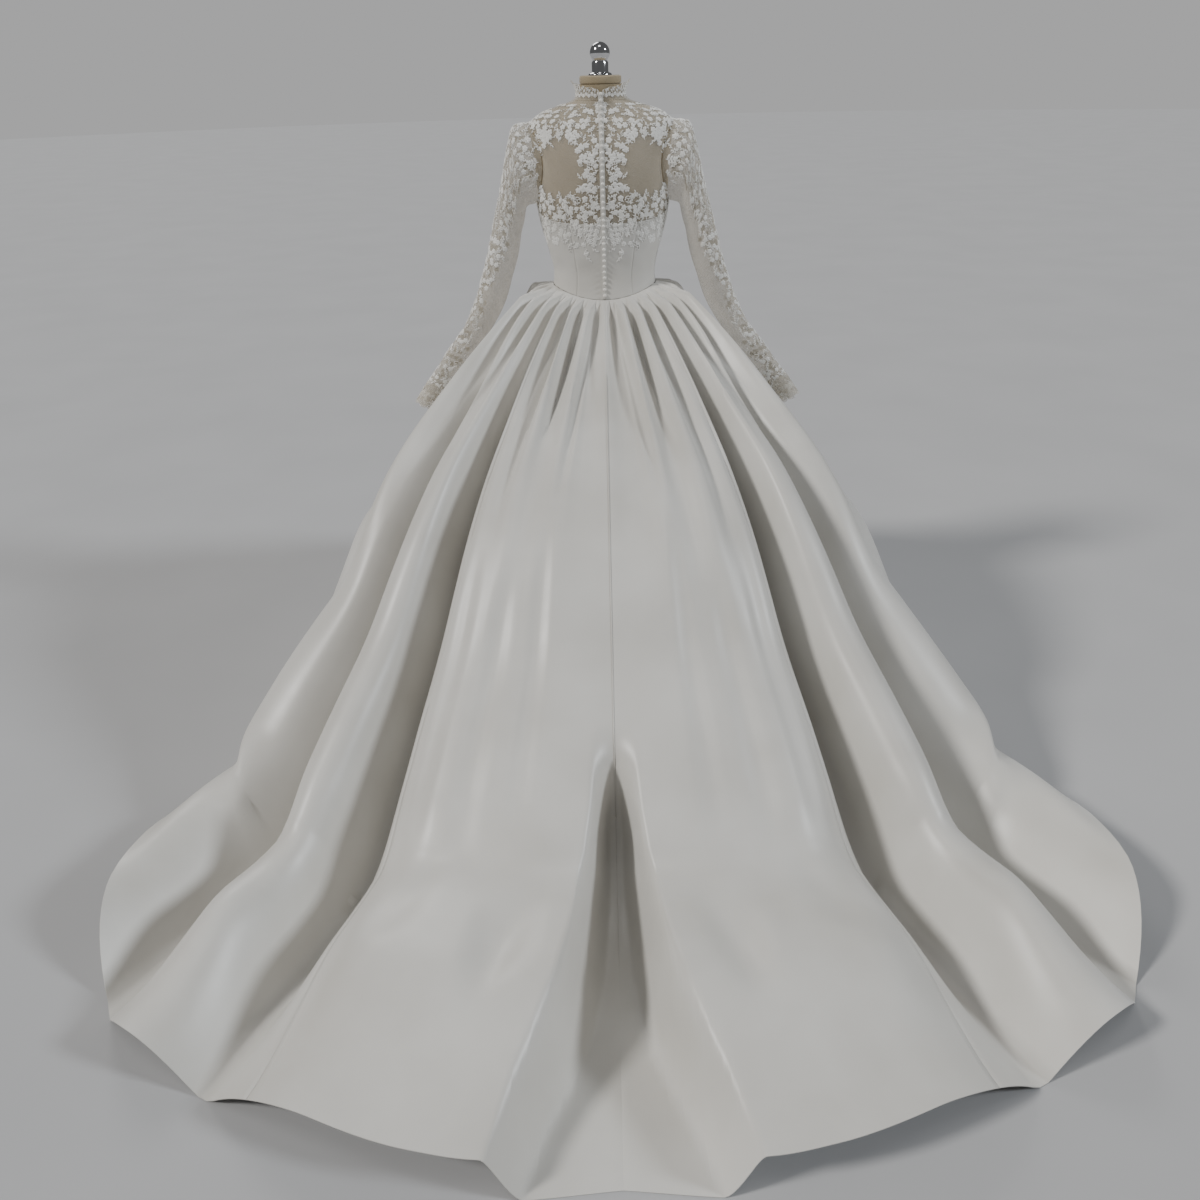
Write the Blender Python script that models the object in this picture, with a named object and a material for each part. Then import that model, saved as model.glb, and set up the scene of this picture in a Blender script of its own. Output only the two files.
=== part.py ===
"""Ivory satin wedding dress with a lace yoke and a long train, on a limbless dress form.

Metres, +Z up. The origin is on the floor, under the middle of the form's stand. The front of the
dress faces -Y and the train lies towards +Y. Angles round the body start at the front centre (0),
pass the wearer's left side (90, at +X) and reach the back centre at 180.
"""

import math

import bmesh
import bpy
import numpy as np

# Clearances and wall thicknesses
SEAM_GAP = 0.0003
SATIN_WALL = 0.0020
BODICE_WALL = 0.0016
NET_WALL = 0.0012
YOKE_SEAM = 0.0030
LACE_WALL = 0.0012
FORM_CLEARANCE = 0.0050
SHOULDER_CLEARANCE = 0.0012
NECK_CLEARANCE = 0.0007

# Heights of the seams
WAIST_SIDE_Z = 1.052
WAIST_BACK_DIP = 0.034
WAIST_FRONT_DIP = 0.022
WAIST_DIP_POWER = 4
YOKE_TOP_Z = 1.4925
COLLAR_HEIGHT = 0.025
COLLAR_TIP_RISE = 0.016
COLLAR_TIP_ANGLE = 102
COLLAR_TIP_WIDTH = 58
COLLAR_TIP_FLARE = 0.013
COLLAR_SCALLOPS = 9
COLLAR_SCALLOP_DEPTH = 0.0022
COLLAR_BACK_DIP = 0.006
COLLAR_DIP_ANGLE = 155
COLLAR_EASE = 0.001
COLLAR_LEAN = 0.003
COLLAR_BASE_Z = 1.4930
ARMHOLE_CENTRE_Z = 1.348
ARMHOLE_HALF_HEIGHT = 0.098
ARMHOLE_HALF_DEPTH = 0.056

# Dress form and its stand
TORSO_BOTTOM_Z = 0.830
NECK_TOP_Z = 1.5275
FORM_SIDES = 24
METAL_SIDES = 16
TORSO_HEIGHTS = (
    0.86, 0.92, 0.98, 1.03, 1.085, 1.13, 1.18, 1.24, 1.30, 1.36, 1.40, 1.43, 1.445, 1.46, 1.475, 1.488,
)
NECK_START_Z = 1.497
NECK_END_Z = 1.508
CAP_EDGE = 0.004
KNOB_FLANGE_HEIGHT = 0.003
KNOB_BALL_RISE = 0.80
KNOB_LATITUDES = (-42, -24, -6, 12, 30, 48, 66, 80)
SOCKET_HEIGHT = 0.045
SOCKET_RADIUS = 0.020
SOCKET_BEVEL = 0.004
BASE_EDGE = 0.010
BASE_CROWN_RADIUS = 0.06
CAP_RADIUS = 0.052
CAP_HEIGHT = 0.019
KNOB_RADIUS = 0.0245
KNOB_STEM_RADIUS = 0.0205
KNOB_STEM_HEIGHT = 0.030
KNOB_FLANGE_RADIUS = 0.029
POLE_RADIUS = 0.016
BASE_RADIUS = 0.210
BASE_HEIGHT = 0.030

# Buttons
BUTTON_COUNT = 32
BUTTON_RADIUS = 0.0044
BUTTON_HEIGHT = 0.0062
BUTTON_TOP_Z = 1.507
PLACKET_HALF_WIDTH = 0.0065

# Skirt mesh
GATHER_COUNT = 28
GATHER_DEPTH = 0.011
GATHER_RISE = 0.07
GATHER_FADE = 0.40
SLEEVE_SIDES = 16
CUFF_SIDES = 28

# Outer cross-sections of the bodice and yoke: half width, depth to the front and to the back
BODY_COLUMNS = ("z", "half_width", "front", "back")
BODY_SECTIONS = (
    (0.800, 0.172, 0.118, 0.125),
    (0.860, 0.178, 0.118, 0.130),
    (0.940, 0.168, 0.110, 0.118),
    (1.000, 0.146, 0.100, 0.096),
    (1.052, 0.135, 0.094, 0.084),
    (1.085, 0.134, 0.093, 0.082),
    (1.130, 0.144, 0.099, 0.087),
    (1.180, 0.157, 0.110, 0.093),
    (1.250, 0.171, 0.126, 0.100),
    (1.300, 0.176, 0.124, 0.102),
    (1.350, 0.179, 0.108, 0.101),
    (1.400, 0.184, 0.088, 0.092),
    (1.440, 0.183, 0.070, 0.077),
    (1.469, 0.140, 0.058, 0.062),
    (1.494, 0.068, 0.051, 0.055),
    (1.512, 0.057, 0.050, 0.053),
    (1.545, 0.058, 0.052, 0.055),
)

# Upper edge of the satin, by angle from the front centre
TOP_EDGE_COLUMNS = ("angle", "z")
TOP_EDGE = (
    (0, 1.262),
    (35, 1.287),
    (65, 1.262),
    (90, 1.236),
    (130, 1.214),
    (180, 1.206),
)

# Sleeve rings below the armhole: outer and inner edge seen from behind, half depth, and centre in Y
SLEEVE_COLUMNS = ("outer_x", "outer_z", "inner_x", "inner_z", "half_depth", "y")
SLEEVE_RINGS = (
    (0.2220, 1.4360, 0.1960, 1.2445, 0.0590, 0.000),
    (0.2400, 1.3900, 0.2010, 1.2310, 0.0560, 0.000),
    (0.2580, 1.3160, 0.2070, 1.2050, 0.0500, 0.000),
    (0.2800, 1.2350, 0.2150, 1.1750, 0.0440, 0.002),
    (0.3010, 1.1520, 0.2270, 1.1250, 0.0400, 0.002),
    (0.3230, 1.0800, 0.2470, 1.0620, 0.0380, 0.000),
    (0.3500, 1.0050, 0.2780, 0.9840, 0.0360, -0.012),
    (0.3900, 0.9300, 0.3270, 0.9030, 0.0330, -0.026),
    (0.4400, 0.8650, 0.3830, 0.8340, 0.0300, -0.040),
    (0.4950, 0.7900, 0.4440, 0.7600, 0.0275, -0.052),
    (0.5450, 0.7200, 0.4960, 0.6920, 0.0260, -0.060),
)
CUFF_SCALLOPS = 7
CUFF_SCALLOP_DEPTH = 0.006
CUFF_LENGTH = 0.070
CUFF_TAPER = 0.05
CUFF_EASE = 0.0008

# Hem of the skirt in plan by angle, and the share of the way out at which the cloth meets the floor
HEM_COLUMNS = ("angle", "x", "y", "reach")
HEM = (
    (0, 0.000, -0.700, 1.00),
    (30, 0.380, -0.620, 1.00),
    (60, 0.690, -0.400, 1.00),
    (90, 0.850, 0.000, 1.00),
    (106, 0.895, 0.360, 1.00),
    (122, 0.930, 0.780, 0.88),
    (134, 0.985, 1.170, 0.78),
    (146, 0.985, 1.460, 0.73),
    (154, 0.880, 1.620, 0.71),
    (161, 0.720, 1.705, 0.70),
    (167, 0.540, 1.800, 0.69),
    (173, 0.330, 1.880, 0.68),
    (177, 0.180, 1.900, 0.68),
    (180, 0.000, 1.885, 0.68),
)

# Fall of the skirt from waist to floor: share of the way out, and share of the waist height left
FALL_COLUMNS = ("out", "height")
FALL = (
    (0.00, 1.000),
    (0.05, 0.988),
    (0.15, 0.940),
    (0.26, 0.868),
    (0.37, 0.778),
    (0.47, 0.690),
    (0.55, 0.605),
    (0.66, 0.470),
    (0.78, 0.300),
    (0.90, 0.125),
    (1.00, 0.004),
)

# How the cloth fans out: the angle at the waist and the hem angle that the same thread reaches
SPREAD_COLUMNS = ("waist_angle", "hem_angle")
SPREAD = (
    (0, 0.0),
    (28, 38.0),
    (54, 74.0),
    (84, 112.0),
    (103, 138.5),
    (114, 148.5),
    (125, 155.8),
    (135, 161.8),
    (150, 168.0),
    (164, 173.4),
    (172, 176.6),
    (180, 180.0),
)

# Where the cloth lands: its slope there, and the share of the waist height over which it rounds off
LANDING_SLOPE = 1.2
LANDING_ROUNDING = 0.030

# Large folds on each side, by their angle at the waist: half width in degrees, fullness (1 is a
# plain wave, less is a broader crown), and height above the fall of the cloth at mid skirt and at
# the hem, and the share of the hem height that it loses as it settles on the floor. A negative
# height is a groove.
FOLD_COLUMNS = ("name", "angle", "half_width", "crown", "mid", "hem", "settle", "level")
FOLDS = (
    ("inner_tube", 151, 17, 0.42, 0.075, 0.190, 0.48, 1),
    ("groove_one", 134, 6.5, 1.1, -0.112, -0.020, 1.0, 0),
    ("middle_tube", 124, 9, 0.5, 0.066, 0.180, 0.46, 0),
    ("groove_two", 113.5, 6, 1.1, -0.106, -0.020, 1.0, 0),
    ("outer_tube", 102, 10.5, 0.5, 0.058, 0.170, 0.16, 0),
    ("groove_three", 91, 5.5, 1.1, -0.066, -0.010, 1.0, 0),
    ("side_tube", 82, 9, 0.8, 0.024, 0.015, 0.76, 0),
    ("groove_four", 71, 7, 1.0, -0.046, -0.035, 0.76, 0),
    ("front_side_tube", 57, 10, 0.8, 0.032, 0.045, 0.76, 0),
    ("groove_five", 44, 7, 1.0, -0.034, -0.040, 0.76, 0),
    ("front_tube", 30, 10, 0.8, 0.026, 0.040, 0.76, 0),
    ("front_groove", 15, 7, 1.0, -0.018, -0.030, 0.76, 0),
)
HEM_SETTLE_START = 0.90
ARM_HOLLOW_ANGLE = 74
ARM_HOLLOW_WIDTH = 26
ARM_HOLLOW_DEPTH = 0.062
CENTRE_PLEAT_START = 0.62
CENTRE_PLEAT_OPEN = 0.78
GATHER_SEAM_SHARE = 0.35
GATHER_FLATTENS = (0.25, 0.40)
MIDDLE_RISES = (0.08, 0.45)
MIDDLE_FADES = (0.60, 0.88)
LOW_RISES = (0.52, 0.88)
PLEAT_LANDS = (0.76, 0.88)
HOLLOW_RISES = (0.03, 0.15)
HOLLOW_FADES = (0.42, 0.64)
FALL_ROW_STEP = 0.13
FALL_TURN_STEP = 0.002
WALL_STEP = 0.0015
CENTRE_PLEAT_DEPTH = 0.012
CENTRE_PLEAT_WALL = 3.4

# Half width of the centre pleat's opening in degrees, by row
PLEAT_COLUMNS = ("row", "half_width")
PLEAT = (
    (0.60, 0.2),
    (0.80, 0.5),
    (0.88, 1.2),
    (0.91, 1.8),
    (0.945, 3.3),
    (0.965, 4.5),
    (1.00, 5.8),
)
CENTRE_PLEAT_TURNS = (172.2, 174.0, 175.7, 177.9)

# Rows of the skirt from waist to hem
SKIRT_ROWS = (0.0, 0.02, 0.05, 0.09, 0.14, 0.20, 0.28, 0.37, 0.47, 0.57, 0.665, 0.755, 0.84, 0.92, 0.97, 1.0)

# Panels of the skirt by the waist angles that bound them, and the columns of points to a gather
BACK_SEAM_ANGLE = 141.5
SKIRT_PANELS = (
    ("skirt_front", -45, 45, 3),
    ("skirt_side_front_left", 45, 90, 3),
    ("skirt_side_front_right", -90, -45, 3),
    ("skirt_side_back_left", 90, BACK_SEAM_ANGLE, 4),
    ("skirt_side_back_right", -BACK_SEAM_ANGLE, -90, 4),
    ("skirt_back_left", BACK_SEAM_ANGLE, 180, 4),
    ("skirt_back_right", -180, -BACK_SEAM_ANGLE, 4),
)

# Bodice panels by the angles of the princess seams that bound them
BODICE_PANELS = (
    ("bodice_front", -54, 54),
    ("bodice_side_left", 54, 148),
    ("bodice_side_right", -148, -54),
    ("bodice_back_left", 148, 180),
    ("bodice_back_right", -180, -148),
)
BODICE_ROWS = 7
BODICE_COLUMN_STEP = 16

# Colour, roughness and metallic value of each material
MATERIALS = {
    "satin": ((0.72, 0.70, 0.66, 1.0), 0.42, 0.0),
    "net": ((0.50, 0.44, 0.35, 1.0), 0.85, 0.0),
    "lace": ((0.86, 0.85, 0.80, 1.0), 0.75, 0.0),
    "pearl": ((0.88, 0.86, 0.80, 1.0), 0.25, 0.0),
    "form_cloth": ((0.58, 0.50, 0.38, 1.0), 0.88, 0.0),
    "chrome": ((0.80, 0.80, 0.82, 1.0), 0.12, 1.0),
    "stand_metal": ((0.10, 0.10, 0.11, 1.0), 0.45, 0.8),
}


def column(rows, names, name):
    """One named column of a table, as an array."""
    place = names.index(name)
    return np.array([row[place] for row in rows], float)


def smooth_read(xs, ys, at):
    """A smooth curve through the points of a table, read at one place or many."""
    slopes = np.gradient(ys, xs)
    at = np.clip(at, xs[0], xs[-1])
    k = np.clip(np.searchsorted(xs, at, side="right") - 1, 0, len(xs) - 2)
    width = xs[k + 1] - xs[k]
    t = (at - xs[k]) / width
    start = ys[k] * (1 + 2 * t) * (1 - t) ** 2 + slopes[k] * width * t * (1 - t) ** 2
    end = ys[k + 1] * t * t * (3 - 2 * t) + slopes[k + 1] * width * t * t * (t - 1)
    return start + end


def smoothstep(low, high, x):
    t = np.clip((x - low) / (high - low), 0.0, 1.0)
    return t * t * (3 - 2 * t)


def bell(x):
    """A rounded hump, 1 at the middle and 0 from 1 outwards."""
    return np.where(np.abs(x) < 1, 0.5 + 0.5 * np.cos(np.pi * np.clip(x, -1, 1)), 0.0)


def material(name):
    """The named material, made the first time it is asked for."""
    made = bpy.data.materials.get(name)
    if made is None:
        colour, roughness, metallic = MATERIALS[name]
        made = bpy.data.materials.new(name)
        made.use_nodes = True
        shader = made.node_tree.nodes["Principled BSDF"]
        shader.inputs["Base Color"].default_value = colour
        shader.inputs["Roughness"].default_value = roughness
        shader.inputs["Metallic"].default_value = metallic
    return made


def add_object(name, points, faces, material_name):
    """A named object from points and faces, shaded smooth, with its normals facing out."""
    mesh = bpy.data.meshes.new(name)
    mesh.from_pydata([tuple(p) for p in points], [], faces)
    work = bmesh.new()
    work.from_mesh(mesh)
    bmesh.ops.recalc_face_normals(work, faces=work.faces)
    work.to_mesh(mesh)
    work.free()
    mesh.shade_smooth()
    mesh.set_sharp_from_angle(angle=math.radians(50))
    mesh.materials.append(material(material_name))
    made = bpy.data.objects.new(name, mesh)
    bpy.context.scene.collection.objects.link(made)
    return made


def body_half_width(z):
    return smooth_read(BODY_Z, BODY_WIDTH, z)


def body_depth(angle, z):
    """Depth of the section on the side that the angle faces: front below 90 degrees, back above."""
    front = smooth_read(BODY_Z, BODY_FRONT, z)
    back = smooth_read(BODY_Z, BODY_BACK, z)
    return np.where(np.cos(angle) > 0, front, back)


def body_point(angle, z, out=0.0):
    """A point of the bodice and yoke surface, moved out from it by a distance."""
    width = body_half_width(z) + out
    depth = body_depth(angle, z) + out
    return np.stack([width * np.sin(angle), -depth * np.cos(angle), z + 0 * angle], axis=-1)


def waist_z(angle):
    """Height of the waist seam, lower at the back centre and a little lower at the front."""
    back = ((1 - np.cos(angle)) / 2) ** WAIST_DIP_POWER
    front = ((1 + np.cos(angle)) / 2) ** WAIST_DIP_POWER
    return WAIST_SIDE_Z - WAIST_BACK_DIP * back - WAIST_FRONT_DIP * front


def satin_top_z(angle):
    """Height of the upper edge of the satin."""
    turned = np.abs((np.degrees(angle) + 180) % 360 - 180)
    return smooth_read(EDGE_ANGLE, EDGE_Z, turned)


def grid_normals(surface, rows, columns, row_step=1e-4, turn_step=1e-4):
    """Unit normals of a surface given by a function of row and column values."""
    along = surface(rows + row_step, columns) - surface(rows - row_step, columns)
    across = surface(rows, columns + turn_step) - surface(rows, columns - turn_step)
    normal = np.cross(across, along)
    return normal / np.maximum(np.linalg.norm(normal, axis=-1, keepdims=True), 1e-12)


def facet_normals(points):
    """Unit normals at the points of a grid, each the mean of the facets round it."""
    first = points[1:, 1:] - points[:-1, :-1]
    second = points[1:, :-1] - points[:-1, 1:]
    facets = np.cross(second, first)
    facets /= np.maximum(np.linalg.norm(facets, axis=-1, keepdims=True), 1e-12)
    normal = np.zeros_like(points)
    normal[:-1, :-1] += facets
    normal[:-1, 1:] += facets
    normal[1:, :-1] += facets
    normal[1:, 1:] += facets
    return normal / np.maximum(np.linalg.norm(normal, axis=-1, keepdims=True), 1e-12)


def part_edges(points, gap=SEAM_GAP):
    """Draws the two side edges of a grid in by half a seam gap."""
    drawn = points.copy()
    for edge, neighbour in ((0, 1), (-1, -2)):
        way = points[:, neighbour] - points[:, edge]
        drawn[:, edge] += way / np.linalg.norm(way, axis=-1, keepdims=True) * gap / 2
    return drawn


def wall_faces(outer, ring):
    """Faces of a closed wall whose outer grid comes first and whose inner grid follows.

    Each cell is split along its shorter diagonal, the same way outside and inside, so that the
    two skins of a twisted cell stay one wall apart.
    """
    rows, columns = outer.shape[:2]
    count = rows * columns
    steps = columns if ring else columns - 1
    flat = outer.reshape(-1, 3)
    faces = []
    for i in range(rows - 1):
        for j in range(steps):
            k = (j + 1) % columns
            a, b, c, d = i * columns + j, i * columns + k, (i + 1) * columns + k, (i + 1) * columns + j
            if np.linalg.norm(flat[a] - flat[c]) <= np.linalg.norm(flat[b] - flat[d]):
                halves = ((a, b, c), (a, c, d))
            else:
                halves = ((a, b, d), (b, c, d))
            for half in halves:
                faces.append(half)
                faces.append(tuple(count + p for p in reversed(half)))
    for i in (0, rows - 1):
        for j in range(steps):
            k = (j + 1) % columns
            a, b = i * columns + j, i * columns + k
            faces.append((a, b, count + b, count + a))
    if not ring:
        for i in range(rows - 1):
            for j in (0, columns - 1):
                a, b = i * columns + j, (i + 1) * columns + j
                faces.append((a, b, count + b, count + a))
    return faces


def add_wall(name, outer, inner, material_name, ring=False):
    """A closed wall between two grids of points."""
    points = np.concatenate([outer.reshape(-1, 3), inner.reshape(-1, 3)])
    return add_object(name, points, wall_faces(outer, ring), material_name)


def add_turned(name, profile, sides, material_name, centre=(0.0, 0.0)):
    """A solid turned about a vertical axis from (radius, z) points, bottom first."""
    points = []
    faces = []
    for radius, z in profile:
        for k in range(sides):
            turn = 2 * math.pi * k / sides
            points.append((centre[0] + radius * math.cos(turn), centre[1] + radius * math.sin(turn), z))
    for i in range(len(profile) - 1):
        for k in range(sides):
            n = (k + 1) % sides
            faces.append((i * sides + k, i * sides + n, (i + 1) * sides + n, (i + 1) * sides + k))
    faces.append(tuple(range(sides))[::-1])
    faces.append(tuple(range((len(profile) - 1) * sides, len(profile) * sides)))
    return add_object(name, points, faces, material_name)


def add_form():
    """The limbless form: torso with a flat base, neck cap, knob, pole and floor stand."""
    sides = FORM_SIDES
    heights = (TORSO_BOTTOM_Z, *TORSO_HEIGHTS, NECK_START_Z, NECK_END_Z, NECK_TOP_Z)
    turns = np.linspace(0, 2 * np.pi, sides, endpoint=False)
    points = []
    for z in heights:
        neck = smoothstep(NECK_START_Z, NECK_END_Z, z)
        inset = (BODICE_WALL + FORM_CLEARANCE) * (1 - neck) + NECK_CLEARANCE * neck
        ring = body_point(turns, z + SHOULDER_CLEARANCE * (1 - neck), -inset)
        ring[:, 2] = z
        points.extend(ring.tolist())
    faces = []
    for i in range(len(heights) - 1):
        for k in range(sides):
            n = (k + 1) % sides
            faces.append((i * sides + k, i * sides + n, (i + 1) * sides + n, (i + 1) * sides + k))
    faces.append(tuple(range(sides)))
    faces.append(tuple(range((len(heights) - 1) * sides, len(heights) * sides)))
    add_object("form_torso", points, faces, "form_cloth")

    cap_bottom = NECK_TOP_Z + SEAM_GAP
    cap_top = cap_bottom + CAP_HEIGHT
    cap = [(CAP_RADIUS - CAP_EDGE, cap_bottom), (CAP_RADIUS, cap_bottom + CAP_EDGE)]
    cap += [(CAP_RADIUS, cap_top - CAP_EDGE), (CAP_RADIUS - CAP_EDGE, cap_top)]
    add_turned("form_neck_cap", cap, FORM_SIDES, "form_cloth")

    low = cap_top + SEAM_GAP
    stem_top = low + KNOB_STEM_HEIGHT
    knob = [(KNOB_FLANGE_RADIUS, low), (KNOB_FLANGE_RADIUS, low + KNOB_FLANGE_HEIGHT)]
    knob += [(KNOB_STEM_RADIUS, low + 2 * KNOB_FLANGE_HEIGHT), (KNOB_STEM_RADIUS, stem_top)]
    ball_centre = stem_top + KNOB_RADIUS * KNOB_BALL_RISE
    for degrees in KNOB_LATITUDES:
        turn = math.radians(degrees)
        knob.append((KNOB_RADIUS * math.cos(turn), ball_centre + KNOB_RADIUS * math.sin(turn)))
    add_turned("form_knob", knob, METAL_SIDES, "chrome")

    pole_low = BASE_HEIGHT + SEAM_GAP
    pole_high = TORSO_BOTTOM_Z - SEAM_GAP
    socket_top = pole_low + SOCKET_HEIGHT
    pole = [(SOCKET_RADIUS, pole_low), (SOCKET_RADIUS, socket_top)]
    pole += [(POLE_RADIUS, socket_top + SOCKET_BEVEL), (POLE_RADIUS, pole_high)]
    add_turned("form_pole", pole, METAL_SIDES, "stand_metal")

    base = [(BASE_RADIUS, 0.0), (BASE_RADIUS, BASE_EDGE)]
    base += [(BASE_RADIUS - BASE_EDGE, 2 * BASE_EDGE), (BASE_CROWN_RADIUS, BASE_HEIGHT)]
    add_turned("form_base", base, FORM_SIDES, "stand_metal")


def add_bodice():
    """Satin panels between the waist seam and the strapless edge."""
    def surface(rows, columns):
        z = waist_z(columns) + rows * (satin_top_z(columns) - waist_z(columns))
        return body_point(columns, z)

    rows = np.linspace(0, 1, BODICE_ROWS)[:, None]
    for name, start, end in BODICE_PANELS:
        count = 2 * int(round((end - start) / BODICE_COLUMN_STEP)) + 1
        turns = np.radians(np.linspace(start, end, count))[None, :]
        outer = surface(rows, turns)
        normal = grid_normals(surface, rows, turns)
        outer = part_edges(outer)
        inner = outer - normal * BODICE_WALL * outward_sign(outer, normal)
        add_wall(name, outer, inner, "satin")


def outward_sign(points, normals):
    """1 where the normals face away from the body's axis, else -1."""
    return np.sign(np.sum(points[..., :2] * normals[..., :2], axis=-1, keepdims=True))


def armhole_half_angle(angle_side, z):
    """Half the angle that the armhole takes out of the yoke at a height, on the front or back."""
    share = 1 - ((z - ARMHOLE_CENTRE_Z) / (ARMHOLE_HALF_HEIGHT + SEAM_GAP)) ** 2
    half = (ARMHOLE_HALF_DEPTH + SEAM_GAP) * np.sqrt(np.maximum(share, 0.0))
    depth = body_depth(angle_side, z)
    return np.arcsin(np.clip(half / depth, 0, 0.95))


def add_yoke():
    """Sheer net panels between the satin, the armholes and the collar, in front and behind."""
    rows = 12
    share = np.linspace(0, 1, rows)
    panels = (("yoke_front", 0), ("yoke_back_left", 1), ("yoke_back_right", -1))
    for name, side in panels:
        columns = 21 if side == 0 else 11
        outer = np.zeros((rows, columns, 3))
        for i, s in enumerate(share):
            for j in range(columns):
                across = j / (columns - 1)
                outer[i, j] = yoke_point(side, across, s)
        outer = part_edges(outer)
        flat = outer * np.array([1.0, 1.0, 0.0])
        way = flat / np.linalg.norm(flat, axis=-1, keepdims=True)
        lift = np.array([0.0, 0.0, 1.0])
        tilt = smoothstep(1.40, 1.47, outer[..., 2:3]) * smoothstep(1.50, 1.48, outer[..., 2:3])
        way = way * (1 - 0.6 * tilt) + lift * 0.8 * tilt
        way /= np.linalg.norm(way, axis=-1, keepdims=True)
        inner = outer - way * NET_WALL
        add_wall(name, outer, inner, "net")


def yoke_point(side, across, share):
    """A point of a yoke panel: side 0 is the front, 1 and -1 are the back halves."""
    quarter = math.pi / 2
    angle_for_edge = quarter * 0.5 if side == 0 else quarter * 1.5
    z = 1.3
    for _ in range(4):
        limit = armhole_half_angle(angle_for_edge, z)
        if side == 0:
            angle = (across * 2 - 1) * (quarter - limit)
        else:
            angle = side * (quarter + limit + across * (quarter - limit))
        low = satin_top_z(np.array(angle)) + YOKE_SEAM
        z = float(low + share * (YOKE_TOP_Z - low))
    return body_point(np.array(angle), np.array(z))


def collar_surface(rows, columns):
    """The stand collar, flared outwards, with a scalloped upper edge that dips at the back."""
    turned = np.abs((np.degrees(columns) + 180) % 360 - 180)
    side_lift = bell((turned - COLLAR_TIP_ANGLE) / COLLAR_TIP_WIDTH)
    scallop = COLLAR_SCALLOP_DEPTH * np.abs(np.sin(np.radians(turned) * COLLAR_SCALLOPS))
    height = COLLAR_HEIGHT + COLLAR_TIP_RISE * side_lift + scallop
    height = height - COLLAR_BACK_DIP * smoothstep(COLLAR_DIP_ANGLE, 180, turned)
    z = COLLAR_BASE_Z + rows * height
    flare = COLLAR_EASE + COLLAR_LEAN * rows + COLLAR_TIP_FLARE * rows**2 * side_lift
    return body_point(columns, z, 0.0) + outward(columns) * flare[..., None]


def outward(angle):
    return np.stack([np.sin(angle), -np.cos(angle), 0 * angle], axis=-1)


def add_collar():
    rows = np.linspace(0, 1, 4)[:, None]
    for name, start, end in (("collar_left", 0, 180), ("collar_right", -180, 0)):
        turns = np.radians(np.linspace(start, end, 22))[None, :]
        outer = part_edges(collar_surface(rows, turns))
        inner = outer - outward(turns + 0 * rows) * LACE_WALL
        add_wall(name, outer, inner, "lace")


def sleeve_rings():
    """Rings of points down the left sleeve, armhole first."""
    turns = np.linspace(0, 2 * np.pi, SLEEVE_SIDES, endpoint=False)
    z = ARMHOLE_CENTRE_Z + (ARMHOLE_HALF_HEIGHT - 0.001) * np.cos(turns)
    y = (ARMHOLE_HALF_DEPTH - 0.001) * np.sin(turns)
    depth = np.where(y < 0, smooth_read(BODY_Z, BODY_FRONT, z), smooth_read(BODY_Z, BODY_BACK, z))
    x = body_half_width(z) * np.sqrt(1 - (y / depth) ** 2) + 0.0016
    rings = [np.stack([x, y, z], axis=-1)]
    for row in SLEEVE_RINGS:
        ring = dict(zip(SLEEVE_COLUMNS, row))
        top = np.array([ring["outer_x"], ring["y"], ring["outer_z"]])
        bottom = np.array([ring["inner_x"], ring["y"], ring["inner_z"]])
        middle = (top + bottom) / 2
        half = (top - bottom) / 2
        points = middle + half * np.cos(turns)[:, None]
        points[:, 1] += ring["half_depth"] * np.sin(turns)
        rings.append(points)
    return np.array(rings)


def add_sleeves():
    """Net sleeves, open at the armhole and at the cuff, and the scalloped lace cuffs over them."""
    rings = sleeve_rings()
    middle = rings.mean(axis=1, keepdims=True)
    way = rings - middle
    way /= np.linalg.norm(way, axis=-1, keepdims=True)
    inner = rings - way * NET_WALL
    cuff_rows = 3
    turns = np.linspace(0, 2 * np.pi, CUFF_SIDES, endpoint=False)
    for side, label in ((1, "left"), (-1, "right")):
        flip = np.array([side, 1, 1])
        add_wall("sleeve_" + label, rings * flip, inner * flip, "net", ring=True)
        end = rings[-1].mean(axis=0)
        along = end - rings[-2].mean(axis=0)
        along /= np.linalg.norm(along)
        start = end - along * CUFF_LENGTH
        outer = np.zeros((cuff_rows, len(turns), 3))
        for i in range(cuff_rows):
            share = i / (cuff_rows - 1)
            centre = start + (end - start) * share
            grow = 1.0 + CUFF_TAPER * (1 - share)
            half = (rings[-1][0] - rings[-1][SLEEVE_SIDES // 2]) / 2 * grow
            ring = centre + half * np.cos(turns)[:, None]
            ring[:, 1] += dict(zip(SLEEVE_COLUMNS, SLEEVE_RINGS[-1]))["half_depth"] * grow * np.sin(turns)
            spread = ring - centre
            spread /= np.linalg.norm(spread, axis=-1, keepdims=True)
            ring = ring + spread * (CUFF_EASE + LACE_WALL)
            wave = CUFF_SCALLOP_DEPTH * np.abs(np.sin(turns * CUFF_SCALLOPS / 2))[:, None]
            ring = ring + along * wave * (share * 2 - 1)
            outer[i] = ring
        centre = outer.mean(axis=1, keepdims=True)
        spread = outer - centre
        spread /= np.linalg.norm(spread, axis=-1, keepdims=True)
        add_wall("cuff_" + label, outer * flip, (outer - spread * LACE_WALL) * flip, "lace", ring=True)


def hem_plan(turned):
    """Hem point in plan and the share of the way at which the cloth meets the floor."""
    x = smooth_read(HEM_ANGLE, HEM_X, turned)
    y = smooth_read(HEM_ANGLE, HEM_Y, turned)
    reach = smooth_read(HEM_ANGLE, HEM_REACH, turned)
    return x, y, np.minimum(reach, 1.0)


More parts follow.
